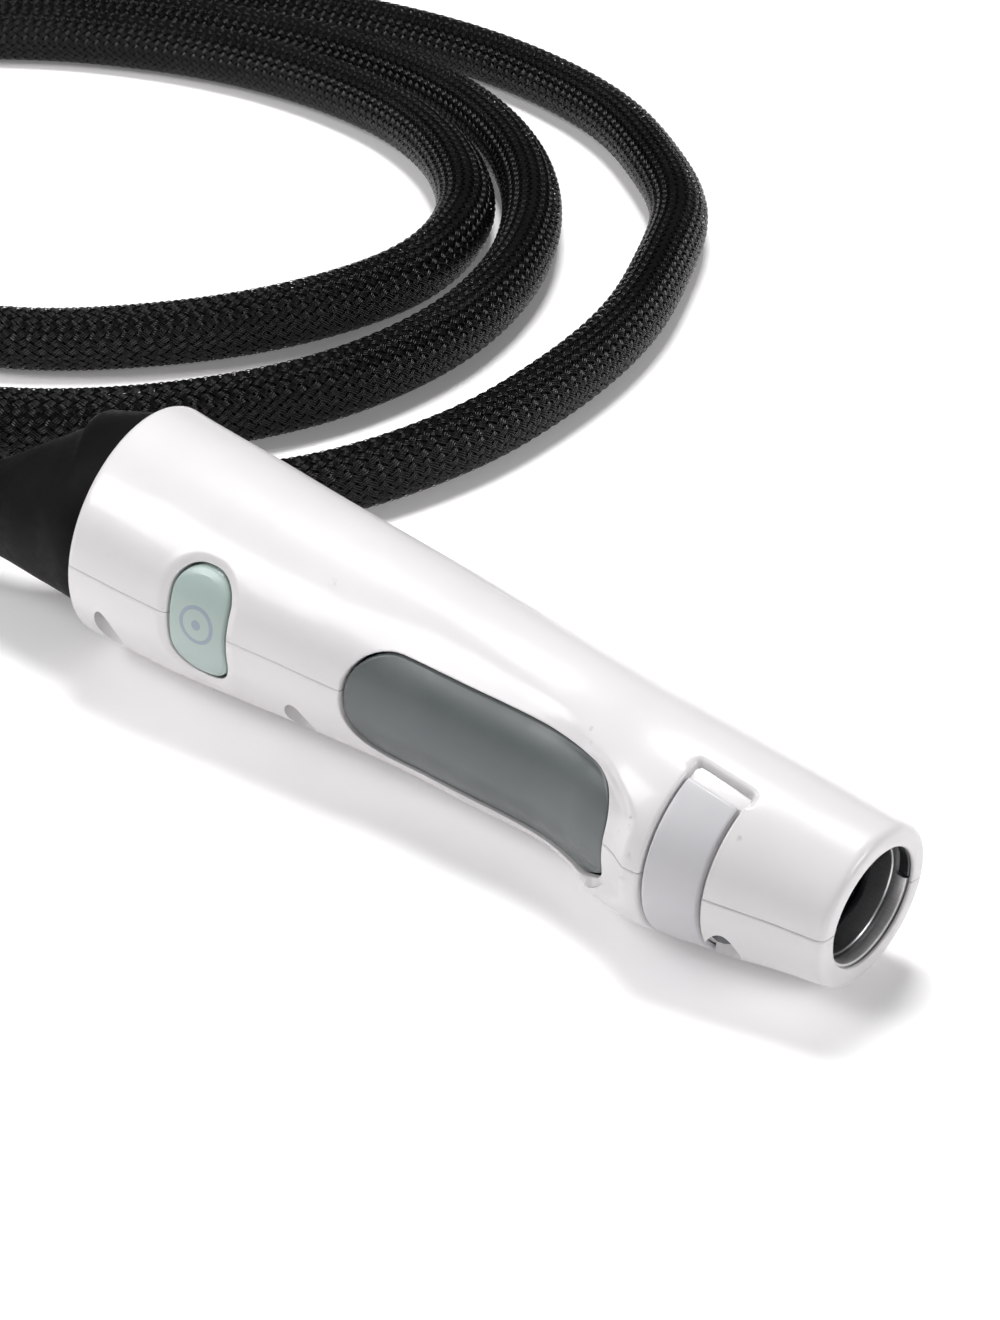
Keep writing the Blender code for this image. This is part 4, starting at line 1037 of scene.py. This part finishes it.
def braid():
    """Flat strands woven one over one, in two directions round the cord."""
    line = np.array(catmull([np.array(p) for p in route_points()], 40))
    reach = np.concatenate([[0], np.cumsum(np.linalg.norm(np.diff(line, axis=0), axis=1))])
    total = reach[-1]
    where = np.linspace(SLEEVE_GAPS[0], total - SLEEVE_GAPS[1], 6000)
    radius = np.array([smooth_table(SLEEVE_TABLE, s / total)[0] for s in where])
    width = 2 * pi * radius / STRANDS
    pitch = np.sqrt(STRAND_CELL**2 - width**2)
    phase = np.concatenate([[0], np.cumsum(np.diff(where) / ((pitch[1:] + pitch[:-1]) / 2))])
    per_cell = 4
    count = int(phase[-1]) * per_cell
    phases = np.arange(count + 1) / per_cell
    along = np.interp(phases, phase, where)
    rad = np.interp(along, where, radius)

    def at(distance):
        return np.stack([np.interp(distance, reach, line[:, k]) for k in range(3)], axis=1)

    tangent = at(along + 1.0) - at(along - 1.0)
    tangent /= np.linalg.norm(tangent, axis=1)[:, None]
    side = np.cross(tangent, UPWARD)
    side /= np.linalg.norm(side, axis=1)[:, None]
    up = np.cross(side, tangent)
    # A wide sleeve lies on the table, so its middle is higher than the cord's.
    centre = at(along) + np.maximum(0, rad - RESTING_RADIUS)[:, None] * UPWARD
    wave = np.cos(2 * pi * phases)
    slope = np.arctan2(2 * pi * rad / STRANDS, np.interp(along, where, pitch))
    pieces = []
    bounds = [round(count * k / SLEEVE_SEGMENTS) for k in range(SLEEVE_SEGMENTS + 1)]
    for segment in range(SLEEVE_SEGMENTS):
        index = np.arange(bounds[segment], bounds[segment + 1] + 1)
        n = len(index)
        turn = slope[index][:, None]
        points, faces, uvs = [], [], []
        for direction in (1, -1):
            for strand in range(STRANDS):
                angle = (2 * pi / STRANDS * (strand + direction * phases[index]))[:, None]
                out = np.cos(angle) * side[index] + np.sin(angle) * up[index]
                round_way = -np.sin(angle) * side[index] + np.cos(angle) * up[index]
                across = np.cos(turn) * round_way * direction - np.sin(turn) * tangent[index]
                level = (rad[index] + WEAVE_HEIGHT * (direction * wave[index] - 1.0))[:, None]
                middle = centre[index] + out * level
                rows = np.stack([middle - across * STRAND_HALF - out * CROWN, middle,
                                 middle + across * STRAND_HALF - out * CROWN], axis=1)
                start = 3 * (n * len(points) + np.arange(n - 1)[:, None])
                points.append(rows.reshape(-1, 3))
                quads = np.concatenate([start + np.array([[0, 1, 4, 3]]),
                                        start + np.array([[1, 2, 5, 4]])], axis=0)
                faces.append(quads[:, ::direction])
                uvs.append(np.stack([np.repeat(phases[index] * 0.7 + strand * 0.137, 3),
                                     np.tile(np.array([0.0, 0.5, 1.0]), n)], axis=1))
        item = sleeve_mesh(f"sleeve_{segment + 1}", np.concatenate(points),
                           np.concatenate(faces), np.concatenate(uvs))
        pieces.append(finished(item, "braided_sleeve", "housing", sharp=180))
    return pieces


def umbilical(sleeves):
    points = [(REST @ p) for p in route_points()]
    points[0] += (points[1] - points[0]).normalized() * 0.3 * MM
    points[-1] += (points[-2] - points[-1]).normalized() * 0.3 * MM
    curve = bpy.data.curves.new("hose_bundle", "CURVE")
    curve.dimensions = "3D"
    curve.bevel_depth = CORE_RADIUS * MM
    curve.bevel_resolution = 6
    curve.use_fill_caps = True
    spline = curve.splines.new("POLY")
    dense = [Vector(p) for p in catmull(points, 4)]
    spline.points.add(len(dense) - 1)
    for spot, point in zip(spline.points, dense):
        spot.co = (*point, 1)
    spline.use_smooth = True
    item = link_object("hose_bundle", curve)
    curve.materials.append(FINISHES["hose"].made)
    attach(item, "housing")
    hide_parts("umbilical")


GRIPS = 24


def connector():
    """The console plug, turned about its own axis where the cord ends."""
    before, end = route_points()[-2:]
    heading = Vector((end.x - before.x, end.y - before.y, 0)).normalized()
    place = (REST @ Matrix.Translation(end)
             @ heading.to_track_quat("X", "Z").to_matrix().to_4x4())
    sheath = [(0.2, 0), (0.2, 9.0), (0.5, 9.4)]
    for i in range(7):
        x = 2.0 + 2.6 * i
        radius = 9.5 + (x - 0.2) * 0.177
        sheath += [(x, radius), (x + 0.4, radius + 0.08), (x + 1.5, radius + 0.26),
                   (x + 1.7, radius - 0.35), (x + 2.3, radius - 0.30)]
    sheath += [(20.4, 13.0), (25.7, 13.0), (26, 12.7), (26, 0)]
    body = [(26.4, 0), (26.4, 13.2), (26.9, 13.6), (34, 15.9), (34.4, 16.0)]
    body += [(x, 15.9 - 0.25 * (i % 2)) for i, x in enumerate(spaced(36, 51, 0.75))]
    body += [(52, 16.0), (52.3, 15.8), (57.7, 15.1), (58, 14.8), (58, 13.2), (73.6, 13.2),
             (74, 12.8), (74, 11.8), (73.7, 11.5), (64, 11.5), (64, 0)]
    collar = ((59, 13.6), (59, 16.6), (59.4, 17.0), (61, 17.7), (61.3, 18.0), (76.3, 18.0),
              (76.9, 17.4), (77.8, 16.9), (78, 16.6), (78, 13.6))
    plug = [finished(lathe("plug_boot", sheath, frame_matrix=place), "black_rubber", "housing",
                     replaces="connector_boot"),
            finished(lathe("plug_body", body, FINE_STEPS, place), "aluminium", "housing",
                     replaces="connector_body")]
    ring = lathe("plug_collar", collar, FINE_STEPS, place)
    for i in range(GRIPS):
        turn = 2 * pi * i / GRIPS
        axis = Vector((0, 18.5 * cos(turn), 18.5 * sin(turn)))
        rings = [[Vector((x, axis.y + u, axis.z + v)) for u, v in round_points(0.85, 12)]
                 for x in (62.5, 75.5)]
        carve(ring, loft("grip", rings, place))
    return [*plug, finished(ring, "black_anodised", "connector_collar",
                            replaces="connector_collar")]


# ---- floor and light
FLOOR_HALF = 6.0
FLOOR_GAP = 0.0004


def tabletop():
    mesh = bpy.data.meshes.new("floor")
    low = CAD_BOX[0].z - FLOOR_GAP
    mesh.from_pydata([(x * FLOOR_HALF, y * FLOOR_HALF, low)
                      for x, y in ((-1, -1), (1, -1), (1, 1), (-1, 1))], [], [(0, 1, 2, 3)])
    item = link_object("floor", mesh)
    made = Finish("floor_paper", (0.93, 0.92, 0.925), 0.9)
    drift = made.remap(made.noise(0.004, 2.0), 0.35, 0.65)
    made.paint(made.mix(drift, (0.94, 0.93, 0.935), (0.92, 0.905, 0.912)))
    made.link(made.colour, made.shader.inputs["Emission Color"])
    made.set(Specular_IOR_Level=0.2, Emission_Strength=0.15)
    mesh.materials.append(made.made)


def area_light(name, spot, target, size, power):
    data = bpy.data.lights.new(name, "AREA")
    data.shape = "RECTANGLE"
    data.size = data.size_y = size
    data.energy = power
    item = bpy.data.objects.new(name, data)
    bpy.context.scene.collection.objects.link(item)
    item.location = spot
    item.rotation_mode = "QUATERNION"
    item.rotation_quaternion = (Vector(target) - Vector(spot)).to_track_quat("-Z", "Y")


def lights():
    world = bpy.data.worlds.new("studio")
    bpy.context.scene.world = world
    world.use_nodes = True
    tree = world.node_tree
    back = tree.nodes["Background"]
    coords = tree.nodes.new("ShaderNodeTexCoord")
    parts = tree.nodes.new("ShaderNodeSeparateXYZ")
    ramp = tree.nodes.new("ShaderNodeValToRGB")
    tree.links.new(coords.outputs["Generated"], parts.inputs[0])
    tree.links.new(parts.outputs["Z"], ramp.inputs["Fac"])
    tree.links.new(ramp.outputs["Color"], back.inputs["Color"])
    stops = ramp.color_ramp.elements
    stops.new(0.30)
    for stop, level in zip(stops, (0.05, 0.10, 0.22)):
        stop.color = (level, level, level, 1)
    back.inputs["Strength"].default_value = 1.0
    area_light("overhead", (-0.2, 0.3, 1.1), (0.0, 0.0, 0.0), 0.35, 12.0)
    area_light("right", (1.3, 0.25, 0.55), (0.05, 0.0, 0.02), 0.5, 7.0)
    area_light("front", (-0.6, -0.75, 0.87), (0.0, 0.0, 0.02), 0.6, 9.0)


def colour_view():
    scene = bpy.context.scene
    scene.view_settings.view_transform = "Standard"
    scene.view_settings.look = "None"


# ---- the rest of the CAD
def finish_cad_nodes():
    """Each CAD node gets the finish of its material slot, and the case screws a dark one, which
    is painted shade for the deep holes they sit in.
    """
    slots = {s["node"]: s["material_slot"] for s in frame["record"]["subparts"]}
    for name, node in frame["nodes"].items():
        # The case screws are painted dark: painted shade for the bottom of their holes.
        screw_in_painted_shade = name.startswith("case_screw")
        finish = FINISHES["dark_metal" if screw_in_painted_shade else slots[name]].made
        for slot in node.material_slots:
            slot.material = finish
        node.data.shade_smooth()


MARK_CENTRE = (36.2, 0.3)


def build():
    make_camera()
    FINISHES.update(make_finishes())
    plug = connector()
    umbilical(braid())
    finish_cad_nodes()
    boot()
    shell_half("upper_shell", 1, UPPER_EDGE)
    shell_half("lower_shell", -1, LOWER_EDGE)
    trigger()
    button()
    springs()
    printed_ring("mark_ring", 3.55, 4.45, MARK_CENTRE)
    printed_ring("mark_dot", 0, 1.15, MARK_CENTRE)
    lock_band()
    mouth_ring()
    nose_optics()
    tabletop()
    lights()
    colour_view()


build()
